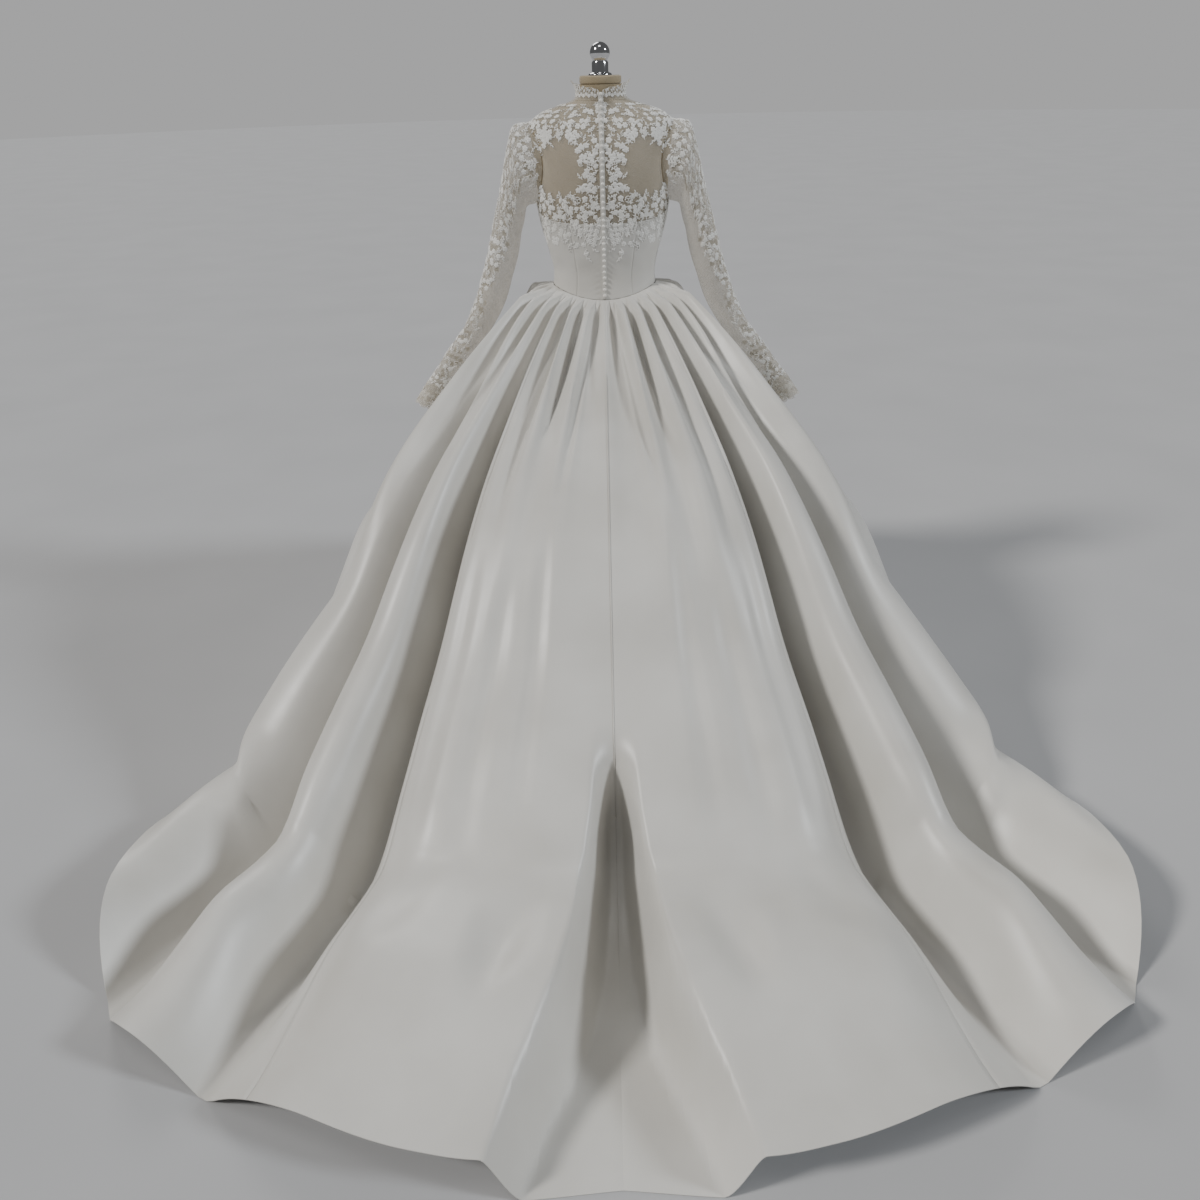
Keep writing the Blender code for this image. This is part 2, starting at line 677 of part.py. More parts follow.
def skirt_base(rows, columns):
    """The fall of the cloth without its folds. Rows run from 0 at the waist to 1 at the hem."""
    sign = np.where(np.sin(columns) < 0, -1.0, 1.0)
    turned = np.abs((np.degrees(columns) + 180) % 360 - 180)
    x, y, reach = hem_plan(np.interp(turned, WAIST_ANGLE, SPREAD_ANGLE))
    top = waist_z(columns) - SEAM_GAP * 2
    start = body_point(columns, top, 0.0006)
    hem = np.stack([x * sign, y, 0 * x], axis=-1)
    split = 0.5 + 0.5 * reach
    on_floor = np.clip((rows - split) / np.maximum(1 - split, 1e-6), 0, 1)
    on_floor = np.where(split > 0.9999, 0.0, on_floor)
    falling = np.clip(rows / split, 0, 1)
    out = smooth_read(FALL_OUT_ROWS, FALL_OUT, falling)
    past = on_floor * (1 - reach) / reach
    height = smooth_read(FALL_OUT_ROWS, FALL_HEIGHT, falling) - LANDING_SLOPE * past
    rounding = LANDING_ROUNDING * (0.04 + 0.96 * smoothstep(1.0, 0.86, reach))
    height = rounding * np.logaddexp(0.0, height / rounding)
    share = (out * reach + on_floor * (1 - reach))[..., None]
    plan = start * (1 - share) + hem * share
    return np.concatenate([plan[..., :2], (top * height)[..., None]], axis=-1)


def fold_height(rows, columns):
    """Height of the gathers, large folds and centre pleat above the fall of the cloth."""
    turned = np.abs((np.degrees(columns) + 180) % 360 - 180)
    wave = 0.5 + 0.5 * np.cos(columns * GATHER_COUNT)
    rise = smoothstep(0, GATHER_RISE, rows) * (1 - smoothstep(GATHER_RISE, GATHER_FADE, rows))
    height = GATHER_DEPTH * wave * (GATHER_SEAM_SHARE + rise) * (1 - smoothstep(*GATHER_FLATTENS, rows))
    middle = smoothstep(*MIDDLE_RISES, rows) * (1 - smoothstep(*MIDDLE_FADES, rows))
    low = smoothstep(*LOW_RISES, rows)
    settling = smoothstep(HEM_SETTLE_START, 1.0, rows)
    crown = 0 * turned
    for row in FOLDS:
        fold = dict(zip(FOLD_COLUMNS, row))
        across = (turned - fold["angle"]) / fold["half_width"]
        across = np.where(across > 0, across * (1 - fold["level"]), across)
        form = bell(across) ** fold["crown"]
        crown = crown + (fold["mid"] * middle + fold["hem"] * low * (1 - fold["settle"] * settling)) * form
    edge = np.interp(rows, PLEAT_ROW, PLEAT_WIDTH)
    open_share = smoothstep(CENTRE_PLEAT_START, CENTRE_PLEAT_OPEN, rows)
    inside = (1 - smoothstep(edge, edge + CENTRE_PLEAT_WALL, 180 - turned)) * open_share
    height = height + crown * (1 - inside)
    height = height - CENTRE_PLEAT_DEPTH * inside * (1 - smoothstep(*PLEAT_LANDS, rows))
    hollow = bell((turned - ARM_HOLLOW_ANGLE) / ARM_HOLLOW_WIDTH)
    hollow = hollow * smoothstep(*HOLLOW_RISES, rows) * (1 - smoothstep(*HOLLOW_FADES, rows))
    return height - ARM_HOLLOW_DEPTH * hollow


def skirt_surface(rows, columns):
    """The outer surface of the skirt, folds included."""
    base = skirt_base(rows, columns)
    normal = grid_normals(skirt_base, rows, columns, FALL_ROW_STEP, FALL_TURN_STEP)
    normal *= np.sign(np.median(normal[..., 2]))
    moved = base + normal * fold_height(rows, columns)[..., None]
    moved[..., 2] = np.minimum(moved[..., 2], waist_z(columns) - SEAM_GAP * 2)
    moved[..., 2] = np.maximum(moved[..., 2], SATIN_WALL)
    return moved


def add_skirt_panel(name, turns, rows):
    """One panel of the skirt, as a wall that rests on the floor where the cloth reaches it."""
    grid_rows = rows + 0 * turns
    grid_turns = turns + 0 * rows
    outer = skirt_surface(grid_rows, grid_turns)
    normal = grid_normals(skirt_surface, grid_rows, grid_turns, WALL_STEP, WALL_STEP)
    within = facet_normals(outer)
    within *= np.sign(np.median(within[..., 2]))
    normal *= np.sign((normal * within).sum(axis=-1, keepdims=True))
    normal[:, 1:-1] = within[:, 1:-1]
    outer = part_edges(outer)
    inner = outer - normal * SATIN_WALL
    inner[..., 2] = np.maximum(inner[..., 2], 0.0)
    low = outer[..., 2] - inner[..., 2] < SATIN_WALL * 0.5
    inner[..., 2] = np.where(low & (outer[..., 2] < 3 * SATIN_WALL), 0.0, inner[..., 2])
    add_wall(name, outer, inner, "satin")


def add_skirt():
    """Gathered satin panels from the waist seam to the hem."""
    rows = np.array(SKIRT_ROWS)[:, None]
    for name, start, end, per_gather in SKIRT_PANELS:
        count = int(round((end - start) * GATHER_COUNT * per_gather / 360)) + 1
        turns = np.linspace(start, end, count)
        if abs(start) == 180 or end == 180:
            extra = np.array(CENTRE_PLEAT_TURNS)
            turns = np.sort(np.concatenate([turns, extra if end == 180 else -extra]))
        add_skirt_panel(name, np.radians(turns)[None, :], rows)


def add_placket_and_buttons():
    """The strip under the buttons and the row of covered buttons down the back centre."""
    heights = np.linspace(waist_z(np.pi) + 0.003, BUTTON_TOP_Z + 0.003, 24)
    outer = np.zeros((len(heights), 3, 3))
    for i, z in enumerate(heights):
        depth = float(smooth_read(BODY_Z, BODY_BACK, z)) + 0.0008 + LACE_WALL
        depth += 0.0042 * float(smoothstep(1.484, 1.494, z))
        for j, x in enumerate((PLACKET_HALF_WIDTH, 0.0, -PLACKET_HALF_WIDTH)):
            outer[i, j] = (x, depth, z)
    inner = outer - np.array([0.0, LACE_WALL, 0.0])
    add_wall("placket", outer, inner, "satin")
    low = waist_z(np.pi) + 0.011
    for k in range(BUTTON_COUNT):
        z = BUTTON_TOP_Z - (BUTTON_TOP_Z - low) * k / (BUTTON_COUNT - 1)
        beside = (z - BUTTON_RADIUS, z, z + BUTTON_RADIUS)
        back = np.interp(beside, heights, outer[:, 1, 1]).max() + SEAM_GAP
        add_button("button_%02d" % (k + 1), back, z)


def add_button(name, y, z):
    """A small domed button whose flat back faces the placket."""
    sides = 6
    profile = ((0.75, 0.0), (1.0, 0.45), (0.55, 1.0))
    points = []
    faces = []
    for radius, height in profile:
        for k in range(sides):
            turn = 2 * math.pi * k / sides
            across = BUTTON_RADIUS * radius * math.cos(turn)
            up = BUTTON_RADIUS * radius * math.sin(turn)
            points.append((across, y + BUTTON_HEIGHT * height, z + up))
    for i in range(len(profile) - 1):
        for k in range(sides):
            n = (k + 1) % sides
            faces.append((i * sides + k, i * sides + n, (i + 1) * sides + n, (i + 1) * sides + k))
    faces.append(tuple(range(sides)))
    faces.append(tuple(range((len(profile) - 1) * sides, len(profile) * sides)))
    add_object(name, points, faces, "pearl")


BODY_Z = column(BODY_SECTIONS, BODY_COLUMNS, "z")
BODY_WIDTH = column(BODY_SECTIONS, BODY_COLUMNS, "half_width")
BODY_FRONT = column(BODY_SECTIONS, BODY_COLUMNS, "front")
BODY_BACK = column(BODY_SECTIONS, BODY_COLUMNS, "back")
EDGE_ANGLE = column(TOP_EDGE, TOP_EDGE_COLUMNS, "angle")
EDGE_Z = column(TOP_EDGE, TOP_EDGE_COLUMNS, "z")
WAIST_ANGLE = column(SPREAD, SPREAD_COLUMNS, "waist_angle")
SPREAD_ANGLE = column(SPREAD, SPREAD_COLUMNS, "hem_angle")
HEM_ANGLE = column(HEM, HEM_COLUMNS, "angle")
HEM_X = column(HEM, HEM_COLUMNS, "x")
HEM_Y = column(HEM, HEM_COLUMNS, "y")
HEM_REACH = column(HEM, HEM_COLUMNS, "reach")
PLEAT_ROW = column(PLEAT, PLEAT_COLUMNS, "row")
PLEAT_WIDTH = column(PLEAT, PLEAT_COLUMNS, "half_width")
FALL_OUT = column(FALL, FALL_COLUMNS, "out")
FALL_HEIGHT = column(FALL, FALL_COLUMNS, "height")
FALL_LENGTHS = np.hypot(np.diff(FALL_OUT), np.diff(FALL_HEIGHT))
FALL_OUT_ROWS = np.concatenate([[0.0], np.cumsum(FALL_LENGTHS)]) / FALL_LENGTHS.sum()


def main():
    for old in list(bpy.data.objects):
        bpy.data.objects.remove(old, do_unlink=True)
    add_form()
    add_bodice()
    add_yoke()
    add_collar()
    add_sleeves()
    add_skirt()
    add_placket_and_buttons()


main()
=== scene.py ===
import logging
import math
from dataclasses import dataclass, field
from enum import Enum

import bpy
import numpy as np
from mathutils import Euler, Matrix, Vector
from mathutils.bvhtree import BVHTree


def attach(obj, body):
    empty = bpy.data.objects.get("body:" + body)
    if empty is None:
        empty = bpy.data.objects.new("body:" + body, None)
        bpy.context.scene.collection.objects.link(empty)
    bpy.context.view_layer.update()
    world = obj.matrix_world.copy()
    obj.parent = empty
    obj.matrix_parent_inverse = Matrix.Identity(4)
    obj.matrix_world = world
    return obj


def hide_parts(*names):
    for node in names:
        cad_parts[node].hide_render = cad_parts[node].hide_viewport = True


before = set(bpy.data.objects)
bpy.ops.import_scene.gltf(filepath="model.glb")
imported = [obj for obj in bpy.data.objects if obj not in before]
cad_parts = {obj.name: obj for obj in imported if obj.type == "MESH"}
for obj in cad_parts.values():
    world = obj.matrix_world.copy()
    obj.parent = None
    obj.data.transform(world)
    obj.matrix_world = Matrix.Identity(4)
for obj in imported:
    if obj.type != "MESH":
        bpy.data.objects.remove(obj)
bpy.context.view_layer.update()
BODY = "root"
LOG = logging.getLogger("wedding_dress")
Colour = tuple[float, float, float, float]


class Side(Enum):
    """The wearer's two sides: left is towards +X."""

    LEFT = 1
    RIGHT = -1

    @property
    def label(self) -> str:
        """The side's word in the names of pieces."""
        return self.name.lower()


class Held(Enum):
    GATHERED = "gathered"
    STRETCHED = "stretched"
    DRAPED = "draped"


@dataclass(frozen=True)
class Table:
    """A short table with named columns."""

    names: tuple[str, ...]
    rows: tuple[tuple, ...]

    def column(self, name: str) -> np.ndarray:
        """One column as an array of numbers."""
        place = self.names.index(name)
        return np.array([row[place] for row in self.rows], float)

    def records(self) -> list[dict]:
        """Each row as a dictionary of its named values."""
        return [dict(zip(self.names, row)) for row in self.rows]


# Cross-sections of the bodice and yoke: half width, depth to the front and to the back
BODY_SECTIONS = Table(
    ("z", "half_width", "front", "back"),
    (
        (0.800, 0.172, 0.118, 0.125),
        (0.860, 0.178, 0.118, 0.130),
        (0.940, 0.168, 0.110, 0.118),
        (1.000, 0.146, 0.100, 0.096),
        (1.052, 0.135, 0.094, 0.084),
        (1.085, 0.134, 0.093, 0.082),
        (1.130, 0.144, 0.099, 0.087),
        (1.180, 0.157, 0.110, 0.093),
        (1.250, 0.171, 0.126, 0.100),
        (1.300, 0.176, 0.124, 0.102),
        (1.350, 0.179, 0.108, 0.101),
        (1.400, 0.184, 0.088, 0.092),
        (1.440, 0.183, 0.070, 0.077),
        (1.469, 0.140, 0.058, 0.062),
        (1.494, 0.068, 0.051, 0.055),
        (1.512, 0.057, 0.050, 0.053),
        (1.545, 0.058, 0.052, 0.055),
    ),
)

# Upper edge of the satin, by angle from the front centre
TOP_EDGE = Table(
    ("angle", "z"),
    ((0, 1.262), (35, 1.287), (65, 1.262), (90, 1.236), (130, 1.214), (180, 1.206)),
)

# Sleeve rings below the armhole: outer and inner edge, half depth, and centre in Y
SLEEVE_RINGS = Table(
    ("outer_x", "outer_z", "inner_x", "inner_z", "half_depth", "y"),
    (
        (0.2220, 1.4360, 0.1960, 1.2445, 0.0590, 0.000),
        (0.2400, 1.3900, 0.2010, 1.2310, 0.0560, 0.000),
        (0.2580, 1.3160, 0.2070, 1.2050, 0.0500, 0.000),
        (0.2800, 1.2350, 0.2150, 1.1750, 0.0440, 0.002),
        (0.3010, 1.1520, 0.2270, 1.1250, 0.0400, 0.002),
        (0.3230, 1.0800, 0.2470, 1.0620, 0.0380, 0.000),
        (0.3500, 1.0050, 0.2780, 0.9840, 0.0360, -0.012),
        (0.3900, 0.9300, 0.3270, 0.9030, 0.0330, -0.026),
        (0.4400, 0.8650, 0.3830, 0.8340, 0.0300, -0.040),
        (0.4950, 0.7900, 0.4440, 0.7600, 0.0275, -0.052),
        (0.5450, 0.7200, 0.4960, 0.6920, 0.0260, -0.060),
    ),
)

# Hem of the skirt in plan by angle, and the share of the way out at which the cloth meets the floor
HEM = Table(
    ("angle", "x", "y", "reach"),
    (
        (0, 0.000, -0.700, 1.00),
        (30, 0.380, -0.620, 1.00),
        (60, 0.690, -0.400, 1.00),
        (90, 0.850, 0.000, 1.00),
        (106, 0.895, 0.360, 1.00),
        (122, 0.930, 0.780, 0.88),
        (134, 0.985, 1.170, 0.78),
        (146, 0.985, 1.460, 0.73),
        (154, 0.880, 1.620, 0.71),
        (161, 0.720, 1.705, 0.70),
        (167, 0.540, 1.800, 0.69),
        (173, 0.330, 1.880, 0.68),
        (177, 0.180, 1.900, 0.68),
        (180, 0.000, 1.885, 0.68),
    ),
)

# Fall of the skirt from waist to floor: share of the way out, and share of the waist height left
FALL = Table(
    ("out", "height"),
    (
        (0.00, 1.000),
        (0.05, 0.988),
        (0.15, 0.940),
        (0.26, 0.868),
        (0.37, 0.778),
        (0.47, 0.690),
        (0.55, 0.605),
        (0.66, 0.470),
        (0.78, 0.300),
        (0.90, 0.125),
        (1.00, 0.004),
    ),
)

# How the cloth fans out: the angle at the waist and the hem angle that the same thread reaches
SPREAD = Table(
    ("waist_angle", "hem_angle"),
    (
        (0, 0.0),
        (28, 38.0),
        (54, 74.0),
        (84, 112.0),
        (103, 138.5),
        (114, 148.5),
        (125, 155.8),
        (135, 161.8),
        (150, 168.0),
        (164, 173.4),
        (172, 176.6),
        (180, 180.0),
    ),
)

# Large folds on each side by their angle at the waist, with their heights at mid fall and near the hem.
# A negative height is a groove. A level fold keeps its crown to the centre back.
FOLDS = Table(
    ("name", "angle", "half_width", "crown", "mid", "hem", "settle", "level"),
    (
        ("inner_tube", 151, 17, 0.42, 0.075, 0.190, 0.48, 1),
        ("groove_one", 134, 6.5, 1.1, -0.112, -0.020, 1.0, 0),
        ("middle_tube", 124, 9, 0.5, 0.066, 0.180, 0.46, 0),
        ("groove_two", 113.5, 6, 1.1, -0.106, -0.020, 1.0, 0),
        ("outer_tube", 102, 10.5, 0.5, 0.058, 0.170, 0.16, 0),
        ("groove_three", 91, 5.5, 1.1, -0.066, -0.010, 1.0, 0),
        ("side_tube", 82, 9, 0.8, 0.024, 0.015, 0.76, 0),
        ("groove_four", 71, 7, 1.0, -0.046, -0.035, 0.76, 0),
        ("front_side_tube", 57, 10, 0.8, 0.032, 0.045, 0.76, 0),
        ("groove_five", 44, 7, 1.0, -0.034, -0.040, 0.76, 0),
        ("front_tube", 30, 10, 0.8, 0.026, 0.040, 0.76, 0),
        ("front_groove", 15, 7, 1.0, -0.018, -0.030, 0.76, 0),
    ),
)

# Softer creases that run down from the gathers: where they start and end by row
CREASES = Table(
    ("angle", "drift", "half_width", "depth", "start", "end"),
    (
        (171.0, -3.0, 2.6, 0.0130, 0.06, 0.40),
        (161.0, -4.0, 2.4, 0.0090, 0.05, 0.34),
        (151.5, -3.0, 2.8, 0.0110, 0.04, 0.46),
        (143.0, -2.0, 2.2, 0.0080, 0.05, 0.52),
        (166.0, 1.5, 3.4, 0.0060, 0.34, 0.82),
        (156.0, 1.0, 3.8, 0.0075, 0.42, 0.86),
        (146.0, 2.0, 3.4, 0.0070, 0.40, 0.90),
        (129.0, -1.0, 2.0, 0.0070, 0.10, 0.50),
        (119.0, 1.0, 2.0, 0.0070, 0.14, 0.62),
        (108.0, -1.0, 2.2, 0.0070, 0.10, 0.48),
        (98.0, 1.5, 2.4, 0.0080, 0.16, 0.66),
        (86.0, 0.0, 3.0, 0.0070, 0.20, 0.80),
        (64.0, 1.0, 3.0, 0.0070, 0.10, 0.70),
        (50.0, -1.0, 3.0, 0.0070, 0.12, 0.66),
        (36.0, 1.0, 3.0, 0.0080, 0.10, 0.74),
        (22.0, 0.0, 3.0, 0.0070, 0.14, 0.70),
        (7.0, 0.0, 3.0, 0.0060, 0.10, 0.60),
    ),
)

# Half width of the centre pleat's opening in degrees, by row
PLEAT = Table(
    ("row", "half_width"),
    ((0.60, 0.2), (0.80, 0.5), (0.88, 1.2), (0.91, 1.8), (0.945, 3.3), (0.965, 4.5), (1.00, 5.8)),
)

# Short dents by row where the cloth breaks on the floor, across the folds
FLOOR_BREAKS = Table(
    ("angle", "half_width", "row", "height", "depth"),
    (
        (168.0, 6.0, 0.885, 0.044, 0.022),
        (150.0, 7.0, 0.870, 0.044, 0.014),
        (124.0, 6.0, 0.890, 0.044, 0.014),
    ),
)

# Lace down the sleeve by share of its length: how far in from the outer edge it reaches,
# as the cosine of the turn
SLEEVE_LACE = Table(
    ("share", "limit"),
    (
        (0.00, -0.50),
        (0.10, -0.35),
        (0.34, -0.20),
        (0.46, 0.35),
        (0.56, 0.25),
        (0.74, -0.40),
        (0.90, -1.10),
        (1.00, -1.10),
    ),
)

# Share of the places on the sleeve that hold a motif
SLEEVE_THINNING = Table(
    ("share", "held"),
    ((0.0, 0.95), (0.40, 0.85), (0.60, 0.55), (0.85, 0.80), (1.0, 1.0)),
)

# Rings of a covered button: share of its radius, and distance out from the strip
BUTTON_RINGS = Table(
    ("share", "out"),
    (
        (0.55, 0.0000),
        (0.70, 0.0012),
        (1.00, 0.0020),
        (1.00, 0.0028),
        (0.88, 0.0044),
        (0.60, 0.0056),
        (0.22, 0.0061),
    ),
)

# Base plate of the stand, from the floor up
BASE_RINGS = Table(
    ("radius", "z"),
    (
        (0.208, 0.0000),
        (0.210, 0.0020),
        (0.210, 0.0090),
        (0.207, 0.0125),
        (0.200, 0.0195),
        (0.130, 0.0255),
        (0.060, 0.0300),
    ),
)

# Far lights: where each comes from, its width in degrees, its power and its colour
LIGHTS = Table(
    ("name", "place", "softness", "power", "warmth"),
    (
        ("key", (4.6, 2.0, 4.0), 9.0, 2.25, (1.0, 0.985, 0.96)),
        ("side", (-5.2, 1.4, 3.0), 10.0, 1.70, (0.90, 0.95, 1.0)),
        ("above", (0.3, 1.4, 5.0), 20.0, 0.35, (1.0, 1.0, 1.0)),
        ("front", (1.5, -4.2, 3.0), 24.0, 0.60, (1.0, 0.99, 0.98)),
    ),
)

# Skirt panels by the waist angles that bound them, with the cut of each in metres
SKIRT_PANELS = Table(
    ("name", "start", "end", "width", "length", "area"),
    (
        ("skirt_front", -45, 45, 1.68, 1.32, 1.25),
        ("skirt_side_front_left", 45, 90, 1.42, 1.62, 0.90),
        ("skirt_side_front_right", -90, -45, 1.42, 1.62, 0.90),
        ("skirt_side_back_left", 90, 141.5, 1.62, 2.40, 1.46),
        ("skirt_side_back_right", -141.5, -90, 1.62, 2.40, 1.46),
        ("skirt_back_left", 141.5, 180, 0.98, 2.55, 0.90),
        ("skirt_back_right", -180, -141.5, 0.98, 2.55, 0.90),
    ),
)

# Bodice panels by the angles of the seams that bound them, with the cut of each in metres
BODICE_PANELS = Table(
    ("name", "start", "end", "width", "length", "area"),
    (
        ("bodice_front", -54, 54, 0.30, 0.26, 0.066),
        ("bodice_side_left", 54, 148, 0.22, 0.25, 0.035),
        ("bodice_side_right", -148, -54, 0.22, 0.25, 0.035),
        ("bodice_back_left", 148, 180, 0.095, 0.21, 0.0150),
        ("bodice_back_right", -180, -148, 0.095, 0.21, 0.0150),
    ),
)


def smooth_read(xs: np.ndarray, ys: np.ndarray, at: np.ndarray | float) -> np.ndarray:
    """Reads a smooth curve through the points of a table.

    Args:
        xs: Places of the points, rising.
        ys: Values at the points.
        at: Place or places to read.

    Returns:
        The value at each place.
    """
    slopes = np.gradient(ys, xs)
    at = np.clip(at, xs[0], xs[-1])
    k = np.clip(np.searchsorted(xs, at, side="right") - 1, 0, len(xs) - 2)
    width = xs[k + 1] - xs[k]
    t = (at - xs[k]) / width
    start = ys[k] * (1 + 2 * t) * (1 - t) ** 2 + slopes[k] * width * t * (1 - t) ** 2
    end = ys[k + 1] * t * t * (3 - 2 * t) + slopes[k + 1] * width * t * t * (t - 1)
    return start + end


def smoothstep(low: float, high: float, x: np.ndarray | float) -> np.ndarray:
    """A soft step from 0 at low to 1 at high."""
    t = np.clip((x - low) / (high - low), 0.0, 1.0)
    return t * t * (3 - 2 * t)


def within(x: np.ndarray | float, limits: tuple[float, float, float, float]) -> np.ndarray:
    """A soft window, which rises between the first two limits and falls between the last two."""
    return smoothstep(limits[0], limits[1], x) * (1 - smoothstep(limits[2], limits[3], x))


def circle(sides: int) -> np.ndarray:
    """Evenly spaced angles round a full turn, in radians."""
    return np.linspace(0, 2 * np.pi, sides, endpoint=False)


def bell(x: np.ndarray) -> np.ndarray:
    """A rounded hump, 1 at the middle and 0 from 1 outwards."""
    return np.where(np.abs(x) < 1, 0.5 + 0.5 * np.cos(np.pi * np.clip(x, -1, 1)), 0.0)


def turned_from_front(angle: np.ndarray) -> np.ndarray:
    """Degrees from the front centre, without the sign of the side."""
    return np.abs((np.degrees(angle) + 180) % 360 - 180)


def unit(vectors: np.ndarray) -> np.ndarray:
    """The same directions with length 1."""
    return vectors / np.maximum(np.linalg.norm(vectors, axis=-1, keepdims=True), 1e-12)


def sideways(points: np.ndarray) -> np.ndarray:
    """Level directions from the vertical axis to the points."""
    return unit(points * np.array([1.0, 1.0, 0.0]))


def skin_normals(points: np.ndarray, ring: bool = False) -> np.ndarray:
    """Unit normals at the points of a grid, worked out from its neighbours.

    Args:
        points: Grid of points, rows by columns by three.
        ring: Whether the last column meets the first.

    Returns:
        A grid of unit normals, along the cross product of column way and row way.
    """
    along = np.gradient(points, axis=0)
    if ring:
        across = np.roll(points, -1, axis=1) - np.roll(points, 1, axis=1)
    else:
        across = np.gradient(points, axis=1)
    return unit(np.cross(across, along))


def link(made: bpy.types.Object) -> None:
    """Puts an object in the scene."""
    bpy.context.scene.collection.objects.link(made)


def add_mesh(
    name: str,
    points: np.ndarray,
    faces: list,
    finish: "Finish",
    sharp: float = 60.0,
) -> bpy.types.Object:
    """Makes an object that rides on the part's only body.

    Args:
        name: Name of the piece.
        points: Points in metres, in the shared frame.
        faces: Faces as tuples of point numbers.
        finish: Finish that gives the material.
        sharp: Angle in degrees above which an edge is shaded sharp.

    Returns:
        The new object.
    """
    mesh = bpy.data.meshes.new(name)
    mesh.from_pydata(np.asarray(points, float).tolist(), [], faces)
    mesh.update()
    mesh.shade_smooth()
    mesh.set_sharp_from_angle(angle=math.radians(sharp))
    mesh.materials.append(finish.material())
    made = bpy.data.objects.new(name, mesh)
    link(made)
    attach(made, BODY)
    LOG.info("%s: %d points, %d faces", name, len(mesh.vertices), len(mesh.polygons))
    return made


def grid_faces(rows: int, columns: int, ring: bool, first: int = 0, turned: bool = False) -> list[tuple]:
    """Faces of one skin of a grid.

    Args:
        rows: Rows of points.
        columns: Columns of points.
        ring: Whether the last column meets the first.
        first: Number of the skin's first point.
        turned: Whether the faces are turned round.

    Returns:
        The faces, four points each.
    """
    steps = columns if ring else columns - 1
    i, j = np.meshgrid(np.arange(rows - 1), np.arange(steps), indexing="ij")
    k = (j + 1) % columns
    upper, lower = i * columns, (i + 1) * columns
    quads = np.stack([upper + j, upper + k, lower + k, lower + j], axis=-1).reshape(-1, 4) + first
    return [tuple(q) for q in (quads[:, ::-1] if turned else quads).tolist()]


def add_cloth(
    name: str,
    outer: np.ndarray,
    thickness: float,
    finish: "Finish",
    way: np.ndarray | None = None,
    ring: bool = False,
) -> bpy.types.Object:
    """Makes a thin closed sheet whose outer skin is a grid of points.

    Args:
        name: Name of the piece.
        outer: Grid of points of the outer skin.
        thickness: Thickness of the cloth.
        finish: Finish of the cloth.
        way: Outward directions at the points, or None to work them out.
        ring: Whether the last column meets the first.

    Returns:
        The new object.
    """
    rows, columns = outer.shape[:2]
    count = rows * columns
    natural = skin_normals(outer, ring)
    way = natural if way is None else way
    facing = float(np.sum(natural * way)) >= 0
    points = np.concatenate([outer.reshape(-1, 3), (outer - way * thickness).reshape(-1, 3)])
    faces = grid_faces(rows, columns, ring, 0, not facing)
    faces += grid_faces(rows, columns, ring, count, facing)
    rims = []
    steps = columns if ring else columns - 1
    for j in range(steps):
        k = (j + 1) % columns
        rims.append((k, j, count + j, count + k))
        low = (rows - 1) * columns
        rims.append((low + j, low + k, count + low + k, count + low + j))
    if not ring:
        for i in range(rows - 1):
            a, b = i * columns, (i + 1) * columns
            rims.append((a, b, count + b, count + a))
            a, b = a + columns - 1, b + columns - 1
            rims.append((b, a, count + a, count + b))
    faces += rims if facing else [face[::-1] for face in rims]
    return add_mesh(name, points, faces, finish)


def turned_faces(rings: int, sides: int) -> list[tuple]:
    """Faces of a turned solid with flat ends, whose rings of points run from the bottom up."""
    faces = grid_faces(rings, sides, True)
    faces.append(tuple(range(sides))[::-1])
    faces.append(tuple(range((rings - 1) * sides, rings * sides)))
    return faces


